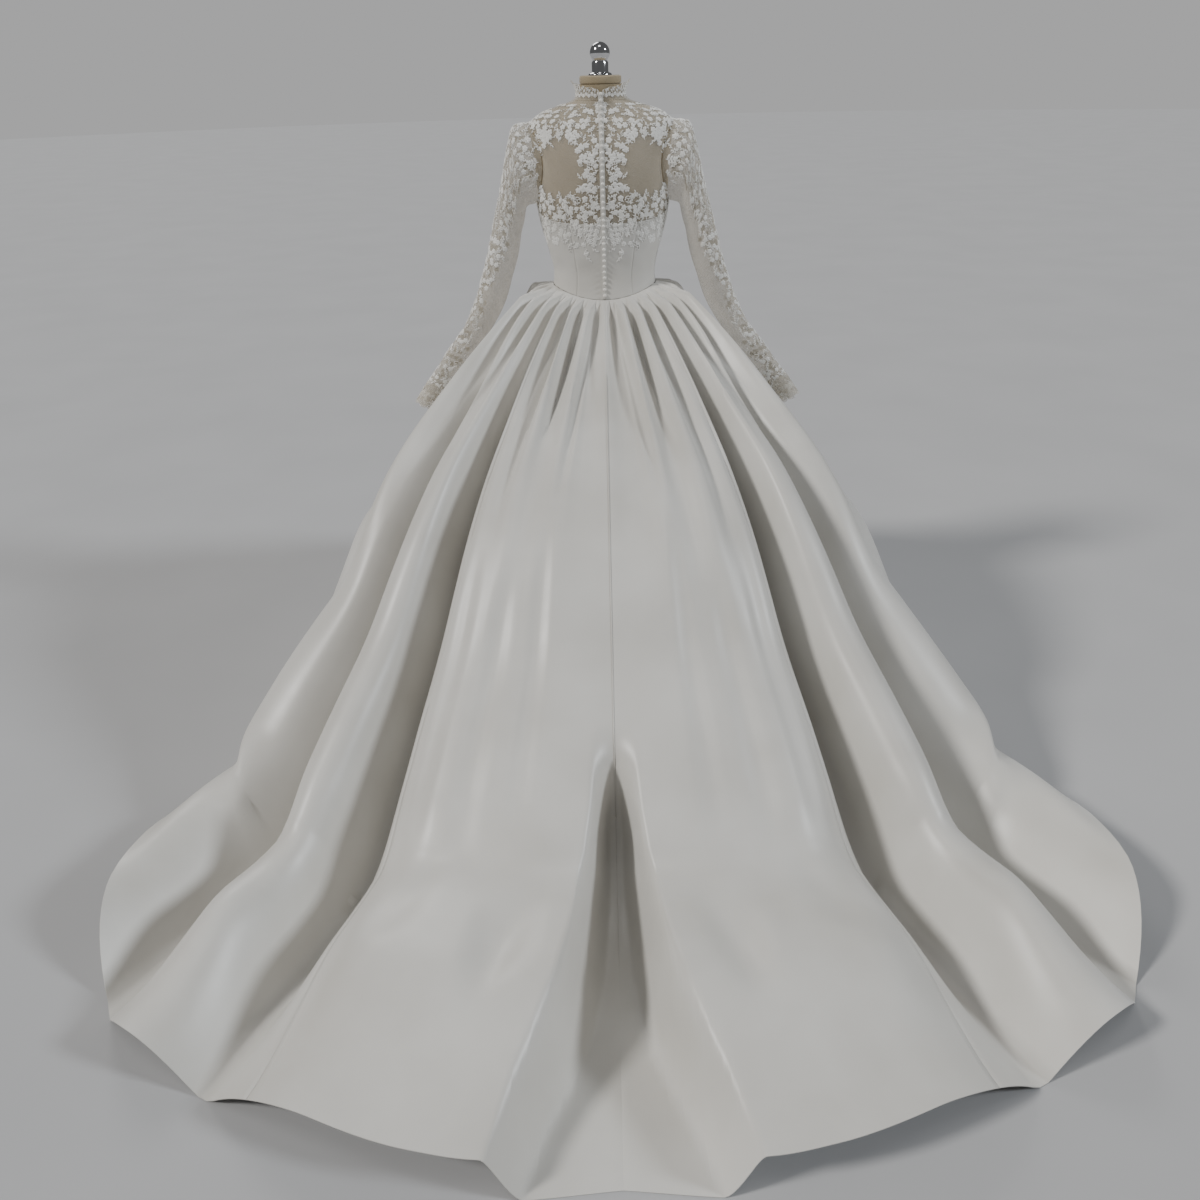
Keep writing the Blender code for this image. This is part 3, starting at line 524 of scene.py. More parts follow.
class Shader:
    """A small builder for a node material around one Principled shader."""

    RAMP_START = 0.32
    RAMP_END = 0.68
    WAVE_UNIT = 6.2832
    WEAVE_DISTORTION = 0.6

    def __init__(self, name: str) -> None:
        """Starts an empty material with a Principled shader."""
        self.material = bpy.data.materials.new(name)
        self.material.use_nodes = True
        self.tree = self.material.node_tree
        self.principled = self.tree.nodes["Principled BSDF"]
        self.place = self.add("ShaderNodeTexCoord").outputs["Object"]

    def add(self, kind: str, **inputs: object) -> bpy.types.Node:
        """Adds a node and sets or links its inputs.

        Args:
            kind: Blender's name of the node type.
            inputs: Values or output sockets, by input name with _ for a space.

        Returns:
            The new node.
        """
        node = self.tree.nodes.new(kind)
        self.fill(node, inputs)
        return node

    def fill(self, node: bpy.types.Node, inputs: dict[str, object]) -> None:
        """Sets or links inputs of a node, by name with _ for a space."""
        for key, value in inputs.items():
            socket = node.inputs[key.replace("_", " ")]
            if isinstance(value, bpy.types.NodeSocket):
                self.tree.links.new(value, socket)
            else:
                socket.default_value = value

    def set(self, **inputs: object) -> None:
        """Sets or links inputs of the Principled shader, by name with _ for a space."""
        self.fill(self.principled, inputs)

    def noise(
        self,
        scale: float,
        detail: float = 3.0,
        stretch: tuple[float, float, float] = (1.0, 1.0, 1.0),
    ) -> bpy.types.NodeSocket:
        """A noise pattern, finer with a greater scale and drawn out by the stretch."""
        mapped = self.add("ShaderNodeMapping", Vector=self.place, Scale=stretch)
        vector = mapped.outputs["Vector"]
        node = self.add("ShaderNodeTexNoise", Vector=vector, Scale=scale, Detail=detail)
        return node.outputs["Fac"]

    def ramp(self, value: bpy.types.NodeSocket, low: Colour, high: Colour) -> bpy.types.NodeSocket:
        """A colour between two, by a pattern."""
        node = self.add("ShaderNodeValToRGB", Fac=value)
        node.color_ramp.elements[0].color = low
        node.color_ramp.elements[0].position = self.RAMP_START
        node.color_ramp.elements[1].color = high
        node.color_ramp.elements[1].position = self.RAMP_END
        return node.outputs["Color"]

    def range(self, value: bpy.types.NodeSocket, low: float, high: float) -> bpy.types.NodeSocket:
        """A number between two, by a pattern."""
        node = self.add("ShaderNodeMapRange", Value=value, To_Min=low, To_Max=high)
        return node.outputs["Result"]

    def weave(self, threads: float) -> bpy.types.NodeSocket:
        """A plain weave of threads to the metre, as a height pattern."""
        heights = []
        for axis in ("X", "Z"):
            wave = self.add("ShaderNodeTexWave", Vector=self.place, Scale=threads / self.WAVE_UNIT)
            self.fill(wave, {"Distortion": self.WEAVE_DISTORTION})
            wave.bands_direction = axis
            heights.append(wave.outputs["Fac"])
        both = self.add("ShaderNodeMath")
        both.operation = "MAXIMUM"
        self.tree.links.new(heights[0], both.inputs[0])
        self.tree.links.new(heights[1], both.inputs[1])
        return both.outputs["Value"]

    def bump(self, height: bpy.types.NodeSocket, strength: float, distance: float) -> None:
        """Sets the shader's bump from a height pattern."""
        node = self.add("ShaderNodeBump", Height=height, Strength=strength, Distance=distance)
        self.set(Normal=node.outputs["Normal"])


@dataclass(frozen=True)
class Finish:
    """A finish: the slot that names its material, and the two colours that it lies between."""

    slot: str
    low: Colour
    high: Colour
    roughness: tuple[float, float] = (0.4, 0.5)

    def dress(self, shader: Shader) -> None:
        """Sets what this finish has beyond its colour and roughness."""

    def material(self) -> bpy.types.Material:
        """The finish's material, made the first time it is asked for."""
        name = "finish_" + self.slot
        made = bpy.data.materials.get(name)
        if made is None:
            shader = Shader(name)
            shader.set(Base_Color=shader.ramp(shader.noise(scale=5.0), self.low, self.high))
            shader.set(Roughness=shader.range(shader.noise(scale=30.0), *self.roughness))
            self.dress(shader)
            made = shader.material
        return made


@dataclass(frozen=True)
class SatinFinish(Finish):
    """Heavy ivory satin with a broad soft sheen and a fine twill."""

    threads: float = 2400.0

    def dress(self, shader: Shader) -> None:
        """Adds the sheen and the twill."""
        shader.set(Sheen_Weight=0.18, Sheen_Roughness=0.40, Specular_IOR_Level=0.66)
        shader.bump(shader.weave(self.threads), strength=0.10, distance=0.00012)


@dataclass(frozen=True)
class NetFinish(Finish):
    """Fine see-through net: threads round small cells."""

    cells: float = 620.0
    gap_alpha: float = 0.10
    thread_alpha: float = 0.42

    def dress(self, shader: Shader) -> None:
        """Makes the cells see-through and the threads nearly so."""
        cell = shader.add("ShaderNodeTexVoronoi", Vector=shader.place, Scale=self.cells)
        shader.set(Alpha=shader.range(cell.outputs["Distance"], self.gap_alpha, self.thread_alpha))
        shader.set(Sheen_Weight=0.2)


@dataclass(frozen=True)
class LaceFinish(Finish):
    """White corded lace thread."""

    def dress(self, shader: Shader) -> None:
        """Adds the twist of the thread."""
        shader.set(Sheen_Weight=0.25, Specular_IOR_Level=0.4)
        shader.bump(shader.noise(scale=2600.0, detail=2.0), strength=0.35, distance=0.0003)


@dataclass(frozen=True)
class PearlFinish(Finish):
    """Small covered buttons with a pearl lustre."""

    def dress(self, shader: Shader) -> None:
        """Adds the lustre."""
        shader.set(Coat_Weight=0.6, Coat_Roughness=0.12, Specular_IOR_Level=0.6)
        shader.bump(shader.noise(scale=900.0, detail=2.0), strength=0.08, distance=0.0002)


@dataclass(frozen=True)
class FormClothFinish(Finish):
    """Tan linen jersey over the dress form."""

    threads: float = 1300.0

    def dress(self, shader: Shader) -> None:
        """Adds the weave."""
        shader.set(Sheen_Weight=0.3)
        shader.bump(shader.weave(self.threads), strength=0.30, distance=0.0002)


@dataclass(frozen=True)
class MetalFinish(Finish):
    """Polished or coated metal of the stand."""

    polished: bool = True

    def dress(self, shader: Shader) -> None:
        """Makes it metal, with fine brush marks."""
        shader.set(Metallic=1.0 if self.polished else 0.85)
        marks = shader.noise(scale=260.0, detail=2.0, stretch=(1.0, 1.0, 0.1))
        shader.bump(marks, strength=0.04, distance=0.0002)


SATIN = SatinFinish("satin", (0.585, 0.566, 0.524, 1), (0.655, 0.640, 0.602, 1), (0.37, 0.45))
NET = NetFinish("net", (0.62, 0.56, 0.46, 1), (0.72, 0.67, 0.57, 1), (0.75, 0.85))
LACE = LaceFinish("lace", (0.80, 0.79, 0.75, 1), (0.88, 0.87, 0.84, 1), (0.58, 0.70))
PEARL = PearlFinish("pearl", (0.80, 0.78, 0.72, 1), (0.88, 0.86, 0.81, 1), (0.20, 0.28))
FORM_CLOTH = FormClothFinish(
    "form_cloth", (0.33, 0.265, 0.165, 1), (0.38, 0.31, 0.20, 1), (0.80, 0.90)
)
CHROME = MetalFinish("chrome", (0.62, 0.62, 0.63, 1), (0.70, 0.70, 0.71, 1), (0.07, 0.13))
STAND = MetalFinish(
    "stand_metal", (0.07, 0.07, 0.075, 1), (0.11, 0.11, 0.115, 1), (0.38, 0.48), polished=False
)


@dataclass
class BodyShape:
    """The general figure that the bodice and yoke are cut to, and their seams."""

    waist_side_z: float = 1.052
    waist_back_dip: float = 0.034
    waist_front_dip: float = 0.022
    waist_dip_power: int = 4
    yoke_top_z: float = 1.4925
    armhole_centre_z: float = 1.348
    armhole_half_height: float = 0.098
    armhole_half_depth: float = 0.056
    armhole_most: float = 0.95
    seam_gap: float = 0.0003
    z: np.ndarray = field(default_factory=lambda: BODY_SECTIONS.column("z"))
    width: np.ndarray = field(default_factory=lambda: BODY_SECTIONS.column("half_width"))
    front: np.ndarray = field(default_factory=lambda: BODY_SECTIONS.column("front"))
    back: np.ndarray = field(default_factory=lambda: BODY_SECTIONS.column("back"))
    edge_angle: np.ndarray = field(default_factory=lambda: TOP_EDGE.column("angle"))
    edge_z: np.ndarray = field(default_factory=lambda: TOP_EDGE.column("z"))

    def half_width(self, z: np.ndarray | float) -> np.ndarray:
        """Half width of the figure at a height."""
        return smooth_read(self.z, self.width, z)

    def depth(self, angle: np.ndarray | float, z: np.ndarray | float) -> np.ndarray:
        """Depth of the figure on the side that the angle faces."""
        front = smooth_read(self.z, self.front, z)
        back = smooth_read(self.z, self.back, z)
        return np.where(np.cos(angle) > 0, front, back)

    def point(
        self,
        angle: np.ndarray | float,
        z: np.ndarray | float,
        out: np.ndarray | float = 0.0,
    ) -> np.ndarray:
        """Points of the figure's surface.

        Args:
            angle: Angles from the front centre, in radians.
            z: Heights.
            out: Distance to move out from the surface.

        Returns:
            Points, in the last axis.
        """
        width = self.half_width(z) + out
        depth = self.depth(angle, z) + out
        return np.stack([width * np.sin(angle), -depth * np.cos(angle), z + 0 * angle], axis=-1)

    def waist_z(self, angle: np.ndarray | float) -> np.ndarray:
        """Height of the waist seam."""
        back = ((1 - np.cos(angle)) / 2) ** self.waist_dip_power
        front = ((1 + np.cos(angle)) / 2) ** self.waist_dip_power
        return self.waist_side_z - self.waist_back_dip * back - self.waist_front_dip * front

    def satin_top_z(self, angle: np.ndarray | float) -> np.ndarray:
        """Height of the upper edge of the satin."""
        return smooth_read(self.edge_angle, self.edge_z, turned_from_front(angle))

    def armhole_half_angle(self, angle_side: float, z: np.ndarray) -> np.ndarray:
        """Half the angle that the armhole takes out of the yoke at a height."""
        share = 1 - ((z - self.armhole_centre_z) / (self.armhole_half_height + self.seam_gap)) ** 2
        half = (self.armhole_half_depth + self.seam_gap) * np.sqrt(np.maximum(share, 0.0))
        return np.arcsin(np.clip(half / self.depth(angle_side, z), 0, self.armhole_most))


@dataclass
class Skins:
    """The outer skins that lace is laid on, kept as the cloth is made."""

    points: list = field(default_factory=list)
    faces: list = field(default_factory=list)
    count: int = 0

    def keep(self, outer: np.ndarray, way: np.ndarray, ring: bool = False) -> None:
        """Keeps a grid of points as one more skin, facing the way given.

        Args:
            outer: Grid of points.
            way: Outward directions at the points.
            ring: Whether the last column meets the first.
        """
        rows, columns = outer.shape[:2]
        facing = float(np.sum(skin_normals(outer, ring) * way)) >= 0
        self.points.extend(outer.reshape(-1, 3).tolist())
        self.faces.extend(grid_faces(rows, columns, ring, self.count, not facing))
        self.count += rows * columns

    def tree(self) -> BVHTree:
        """A search tree over all the skins."""
        return BVHTree.FromPolygons([Vector(p) for p in self.points], self.faces)


@dataclass
class Skirt:
    """The gathered skirt and train: seven satin panels from the waist seam to the hem."""

    body: BodyShape
    wall: float = 0.0016
    rest: float = 0.0020
    gather_count: int = 28
    gather_depth: float = 0.0175
    columns_per_gather: int = 12
    row_count: int = 104
    settle_start: float = 0.90
    hollow_angle: float = 74.0
    hollow_width: float = 26.0
    hollow_depth: float = 0.062
    landing_slope: float = 1.2
    landing_rounding: float = 0.030
    pleat_start: float = 0.62
    pleat_open: float = 0.78
    pleat_depth: float = 0.012
    row_step: float = 0.13
    shoulder_slope: float = 0.05
    valley_depth: float = 0.0120
    pleat_wall: float = 3.4
    lift: float = 0.0006
    least_rounding: float = 0.04
    rounded_reach: float = 0.86
    gather_base: float = 0.30
    gather_rise: float = 0.07
    gather_fade: tuple = (0.38, 0.62)
    pucker_height: float = 0.0048
    pucker_rows: tuple = (0.0, 0.01, 0.03, 0.16)
    valley_rows: tuple = (0.0, 0.06, 0.10, 0.36)
    crease_rows: tuple = (0.0, 0.25, 0.55, 1.0)
    break_waver: float = 0.010
    fold_rows: tuple = (0.08, 0.45, 0.60, 0.88)
    hem_rows: tuple = (0.52, 0.88)
    pleat_fade: tuple = (0.76, 0.88)
    hollow_rows: tuple = (0.03, 0.15, 0.42, 0.64)
    ripple_height: float = 0.0016
    ripple_rows: tuple = (0.15, 0.4)
    turn_step: float = 2e-3
    even_share: float = 0.72
    seam_margin: float = 0.05
    seam_depth: float = 0.0009
    pleat_columns: tuple = (0.6, 12.0, 0.3)
    floor_gap: float = 0.0002
    floor_zone: float = 0.006

    def __post_init__(self) -> None:
        """Reads the tables, and draws the unevenness of the gathers from a fixed seed."""
        draw = np.random.default_rng(11)
        self.uneven_depth = draw.uniform(0.55, 1.55, self.gather_count)
        self.uneven_reach = draw.uniform(0.30, 0.66, self.gather_count)
        self.uneven_width = draw.uniform(0.8, 1.9, self.gather_count)
        out, height = FALL.column("out"), FALL.column("height")
        lengths = np.hypot(np.diff(out), np.diff(height))
        self.fall_rows = np.concatenate([[0.0], np.cumsum(lengths)]) / lengths.sum()
        self.fall_out, self.fall_height = out, height
        self.hem = {name: HEM.column(name) for name in HEM.names}
        self.spread = {name: SPREAD.column(name) for name in SPREAD.names}

    def base(self, rows: np.ndarray, columns: np.ndarray) -> np.ndarray:
        """The fall of the cloth without its folds.

        Args:
            rows: From 0 at the waist to 1 at the hem.
            columns: Angles round the waist, in radians.

        Returns:
            Points of the cloth.
        """
        sign = np.where(np.sin(columns) < 0, -1.0, 1.0)
        turned = turned_from_front(columns)
        hem_angle = np.interp(turned, self.spread["waist_angle"], self.spread["hem_angle"])
        angles = self.hem["angle"]
        x, y, reach = (smooth_read(angles, self.hem[name], hem_angle) for name in ("x", "y", "reach"))
        reach = np.minimum(reach, 1.0)
        top, start = self.waist_edge(columns)
        hem = np.stack([x * sign, y, 0 * x], axis=-1)
        split = 0.5 + 0.5 * reach
        on_floor = np.clip((rows - split) / np.maximum(1 - split, 1e-6), 0, 1)
        on_floor = np.where(split > 0.9999, 0.0, on_floor)
        falling = np.clip(rows / split, 0, 1)
        out = smooth_read(self.fall_rows, self.fall_out, falling)
        past = on_floor * (1 - reach) / reach
        height = smooth_read(self.fall_rows, self.fall_height, falling) - self.landing_slope * past
        soft = smoothstep(1.0, self.rounded_reach, reach)
        rounding = self.landing_rounding * (self.least_rounding + (1 - self.least_rounding) * soft)
        height = rounding * np.logaddexp(0.0, height / rounding)
        share = (out * reach + on_floor * (1 - reach))[..., None]
        plan = start * (1 - share) + hem * share
        return np.concatenate([plan[..., :2], (top * height)[..., None]], axis=-1)

    def waist_edge(self, columns: np.ndarray) -> tuple[np.ndarray, np.ndarray]:
        """Height and points of the skirt's upper edge, just below the waist seam."""
        top = self.body.waist_z(columns) - self.body.seam_gap * 2
        return top, self.body.point(columns, top, self.lift)

    def gathers(self, rows: np.ndarray, columns: np.ndarray) -> np.ndarray:
        """Height of the uneven gathers below the waist seam, with small puckers at the seam."""
        place = np.degrees(columns) * self.gather_count / 360
        index = np.round(place).astype(int) % self.gather_count
        wave = 0.5 + 0.5 * np.cos((place - np.round(place)) * 2 * np.pi)
        wave = wave ** self.uneven_width[index]
        fall = 1 - smoothstep(0.0, 1.0, (rows - self.gather_rise) / self.uneven_reach[index])
        rise = smoothstep(0, self.gather_rise, rows) * fall
        tall = self.gather_depth * self.uneven_depth[index] * wave * (self.gather_base + rise)
        pucker = self.pucker_height * np.abs(np.sin(columns * self.gather_count * 1.5))
        valley = self.valley_depth * (1 - wave) * within(rows, self.valley_rows)
        tall = tall * (1 - smoothstep(*self.gather_fade, rows))
        return tall + pucker * within(rows, self.pucker_rows) - valley

    def creases(self, rows: np.ndarray, turned: np.ndarray) -> np.ndarray:
        """Depth of the softer creases and of the breaks where the cloth meets the floor."""
        depth = 0 * turned
        for crease in CREASES.records():
            along = (rows - crease["start"]) / (crease["end"] - crease["start"])
            line = crease["angle"] + crease["drift"] * np.clip(along, 0, 1)
            across = bell((turned - line) / crease["half_width"])
            depth = depth + crease["depth"] * within(along, self.crease_rows) * across
        for dent in FLOOR_BREAKS.records():
            across = bell((turned - dent["angle"]) / dent["half_width"])
            row = dent["row"] + self.break_waver * np.sin(turned * 0.35)
            depth = depth + dent["depth"] * across * bell((rows - row) / dent["height"])
        return depth

    def fold_height(self, rows: np.ndarray, columns: np.ndarray) -> np.ndarray:
        """Height of the gathers, folds and centre pleat above the fall of the cloth."""
        turned = turned_from_front(columns)
        height = self.gathers(rows, columns)
        middle = within(rows, self.fold_rows)
        low = smoothstep(*self.hem_rows, rows)
        settling = smoothstep(self.settle_start, 1.0, rows)
        crown = 0 * turned
        for fold in FOLDS.records():
            across = (turned - fold["angle"]) / fold["half_width"]
            across = np.where(across > 0, across * (1 - fold["level"]), across)
            at_hem = fold["hem"] * low * (1 - fold["settle"] * settling)
            crown = crown + (fold["mid"] * middle + at_hem) * bell(across) ** fold["crown"]
        edge = np.interp(rows, PLEAT.column("row"), PLEAT.column("half_width"))
        open_share = smoothstep(self.pleat_start, self.pleat_open, rows)
        inside = (1 - smoothstep(edge, edge + self.pleat_wall, 180 - turned)) * open_share
        height = height + crown * (1 - inside)
        height = height - self.pleat_depth * inside * (1 - smoothstep(*self.pleat_fade, rows))
        hollow = bell((turned - self.hollow_angle) / self.hollow_width)
        hollow = hollow * within(rows, self.hollow_rows)
        ripple = np.sin(columns * 9.0 + 7.0 * rows) * np.sin(rows * 23.0 + columns * 3.0)
        ripple = self.ripple_height * ripple * smoothstep(*self.ripple_rows, rows) * (1 - inside)
        return height - self.hollow_depth * hollow - self.creases(rows, turned) + ripple

    def surface(self, rows: np.ndarray, columns: np.ndarray) -> np.ndarray:
        """The outer surface of the skirt, folds included."""
        base = self.base(rows, columns)
        step, turn = self.row_step, self.turn_step
        along = self.base(rows + step, columns) - self.base(rows - step, columns)
        across = self.base(rows, columns + turn) - self.base(rows, columns - turn)
        normal = unit(np.cross(across, along))
        normal *= np.sign(np.median(normal[..., 2]))
        moved = base + normal * self.fold_height(rows, columns)[..., None]
        top, start = self.waist_edge(columns)
        away = np.linalg.norm((moved - start)[..., :2], axis=-1)
        moved[..., 2] = np.minimum(moved[..., 2], top - self.shoulder_slope * away)
        moved[..., 2] = np.maximum(moved[..., 2], self.rest)
        return moved

    def row_places(self) -> np.ndarray:
        """Rows from waist to hem, closer together at both ends."""
        even = np.linspace(0, 1, self.row_count)
        bunched = 0.5 - 0.5 * np.cos(np.pi * even)
        return self.even_share * even + (1 - self.even_share) * bunched

    def build(self) -> None:
        """Makes the seven panels, with their seams turned in."""
        rows = self.row_places()[:, None]
        per_degree = self.gather_count * self.columns_per_gather / 360
        for panel in SKIRT_PANELS.records():
            start, end = panel["start"], panel["end"]
            places = np.linspace(start, end, int(round((end - start) * per_degree)) + 1)
            seam = np.array([start + self.seam_margin, end - self.seam_margin])
            if abs(start) == 180 or end == 180:
                pleat = np.arange(*self.pleat_columns)
                seam = np.concatenate([seam, end - pleat if end == 180 else start + pleat])
            turns = np.radians(np.sort(np.concatenate([places, seam])))[None, :]
            outer = self.surface(rows + 0 * turns, turns + 0 * rows)
            normal = skin_normals(outer)
            normal *= np.sign(np.median(normal[..., 2]))
            for edge in (0, -1):
                outer[:, edge] -= normal[:, edge] * self.seam_depth
            outer[..., 2] = np.maximum(outer[..., 2], self.wall + self.floor_gap)
            way = normal.copy()
            way[outer[..., 2] < self.floor_zone] = (0.0, 0.0, 1.0)
            made = add_cloth(panel["name"] + "_cloth", outer, self.wall, SATIN, way)
            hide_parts(panel["name"])


@dataclass
class Bodice:
    """The satin bodice: five panels between the waist seam and the strapless edge."""

    body: BodyShape
    skins: Skins
    wall: float = 0.0014
    row_count: int = 44
    column_step: float = 2.0
    lift: float = 0.0004
    drag_height: float = 0.0007
    seam_margin: float = 0.8
    seam_depth: float = 0.0008

    def surface(self, rows: np.ndarray, turns: np.ndarray) -> np.ndarray:
        """Outer surface, with the faint drag lines of fitted satin."""
        low = self.body.waist_z(turns)
        z = low + rows * (self.body.satin_top_z(turns) - low)
        drag = np.sin(rows * 17 + np.cos(turns * 3) * 2.2) * np.sin(turns * 5 + rows * 2)
        drag = self.drag_height * drag * np.sin(np.pi * np.clip(rows, 0, 1))
        return self.body.point(turns, z, self.lift + drag)

    def build(self) -> None:
        """Makes the panels, with their princess seams turned in."""
        rows = np.linspace(0, 1, self.row_count)[:, None]
        for panel in BODICE_PANELS.records():
            start, end = panel["start"], panel["end"]
            count = int(round((end - start) / self.column_step)) + 1
            seam = [start + self.seam_margin, end - self.seam_margin]
            places = np.concatenate([np.linspace(start, end, count), seam])
            turns = np.radians(np.sort(places))[None, :]
            outer = self.surface(rows, turns)
            way = sideways(outer)
            for edge in (0, -1):
                outer[:, edge] -= way[:, edge] * self.seam_depth
            self.skins.keep(outer, way)
            made = add_cloth(panel["name"] + "_cloth", outer, self.wall, SATIN, way)
            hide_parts(panel["name"])


@dataclass
class Yoke:
    """Sheer net above the satin, in front and behind, up to the collar."""

    body: BodyShape
    skins: Skins
    wall: float = 0.0006
    row_count: int = 56
    column_count: int = 60
    lap: float = 0.0010
    first_z: float = 1.3
    passes: int = 6

    def grid(self, side: int) -> np.ndarray:
        """Points of one panel.

        Args:
            side: 0 for the front, 1 for the left back, -1 for the right back.

        Returns:
            A grid of points.
        """
        quarter = math.pi / 2
        across = np.linspace(0, 1, self.column_count * (2 if side == 0 else 1))[None, :]
        share = np.linspace(0, 1, self.row_count)[:, None]
        facing = quarter * (0.5 if side == 0 else 1.5)
        z = self.first_z + 0 * share * across
        for _ in range(self.passes):
            limit = self.body.armhole_half_angle(facing, z)
            if side == 0:
                angle = (across * 2 - 1) * (quarter - limit)
            else:
                angle = side * (quarter + limit + across * (quarter - limit))
            low = self.body.satin_top_z(angle) - self.lap
            z = low + share * (self.body.yoke_top_z - low)
        return self.body.point(angle, z)

    def build(self) -> None:
        """Makes the front panel and the two back panels."""
        cuts = {
            "yoke_front": (0, 0.40, 0.25, 0.070),
            "yoke_back_left": (1, 0.20, 0.29, 0.040),
            "yoke_back_right": (-1, 0.20, 0.29, 0.040),
        }
        for name, (side, width, length, area) in cuts.items():
            outer = self.grid(side)
            normal = skin_normals(outer)
            normal *= np.sign(np.median(np.sum(normal[..., :2] * outer[..., :2], axis=-1)))
            self.skins.keep(outer, normal)
            made = add_cloth(name + "_net", outer, self.wall, NET, normal)
            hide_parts(name)


@dataclass
class Collar:
    """The flared stand collar, with a scalloped edge that dips at the back."""

    body: BodyShape
    skins: Skins
    base_z: float = 1.4930
    wall: float = 0.0009
    height: float = 0.024
    tip_angle: float = 104
    tip_width: float = 26
    tip_power: float = 1.4
    tip_height: float = 0.018
    tip_flare: float = 0.0150
    flare: float = 0.003
    lift: float = 0.0010
    scallops: int = 11
    scallop_height: float = 0.0040
    back_dip: float = 0.007
    row_count: int = 14
    column_count: int = 110
    end_gap: float = 0.2

    def surface(self, rows: np.ndarray, turns: np.ndarray) -> np.ndarray:
        """Outer surface from the neck seam up."""
        turned = turned_from_front(turns)
        tip = np.exp(-(np.abs((turned - self.tip_angle) / self.tip_width) ** self.tip_power))
        scallop = self.scallop_height * np.abs(np.sin(np.radians(turned) * self.scallops))
        dip = self.back_dip * smoothstep(160, 180, turned)
        height = self.height + self.tip_height * tip + scallop - dip
        flare = self.lift + self.tip_flare * rows**2 * tip + self.flare * rows
        out = np.stack([np.sin(turns), -np.cos(turns), 0 * turns], axis=-1)
        return self.body.point(turns, self.base_z + rows * height) + out * flare[..., None]

    def build(self) -> None:
        """Makes the two halves."""
        rows = np.linspace(0, 1, self.row_count)[:, None]
        for name, start, end in (("collar_left", 0, 180), ("collar_right", -180, 0)):
            turns = np.linspace(start + self.end_gap, end - self.end_gap, self.column_count)
            turns = np.radians(turns)[None, :] + 0 * rows
            outer = self.surface(rows, turns)
            way = sideways(outer)
            self.skins.keep(outer, way)
            made = add_cloth(name + "_net", outer, self.wall, NET, way)
            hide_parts(name)


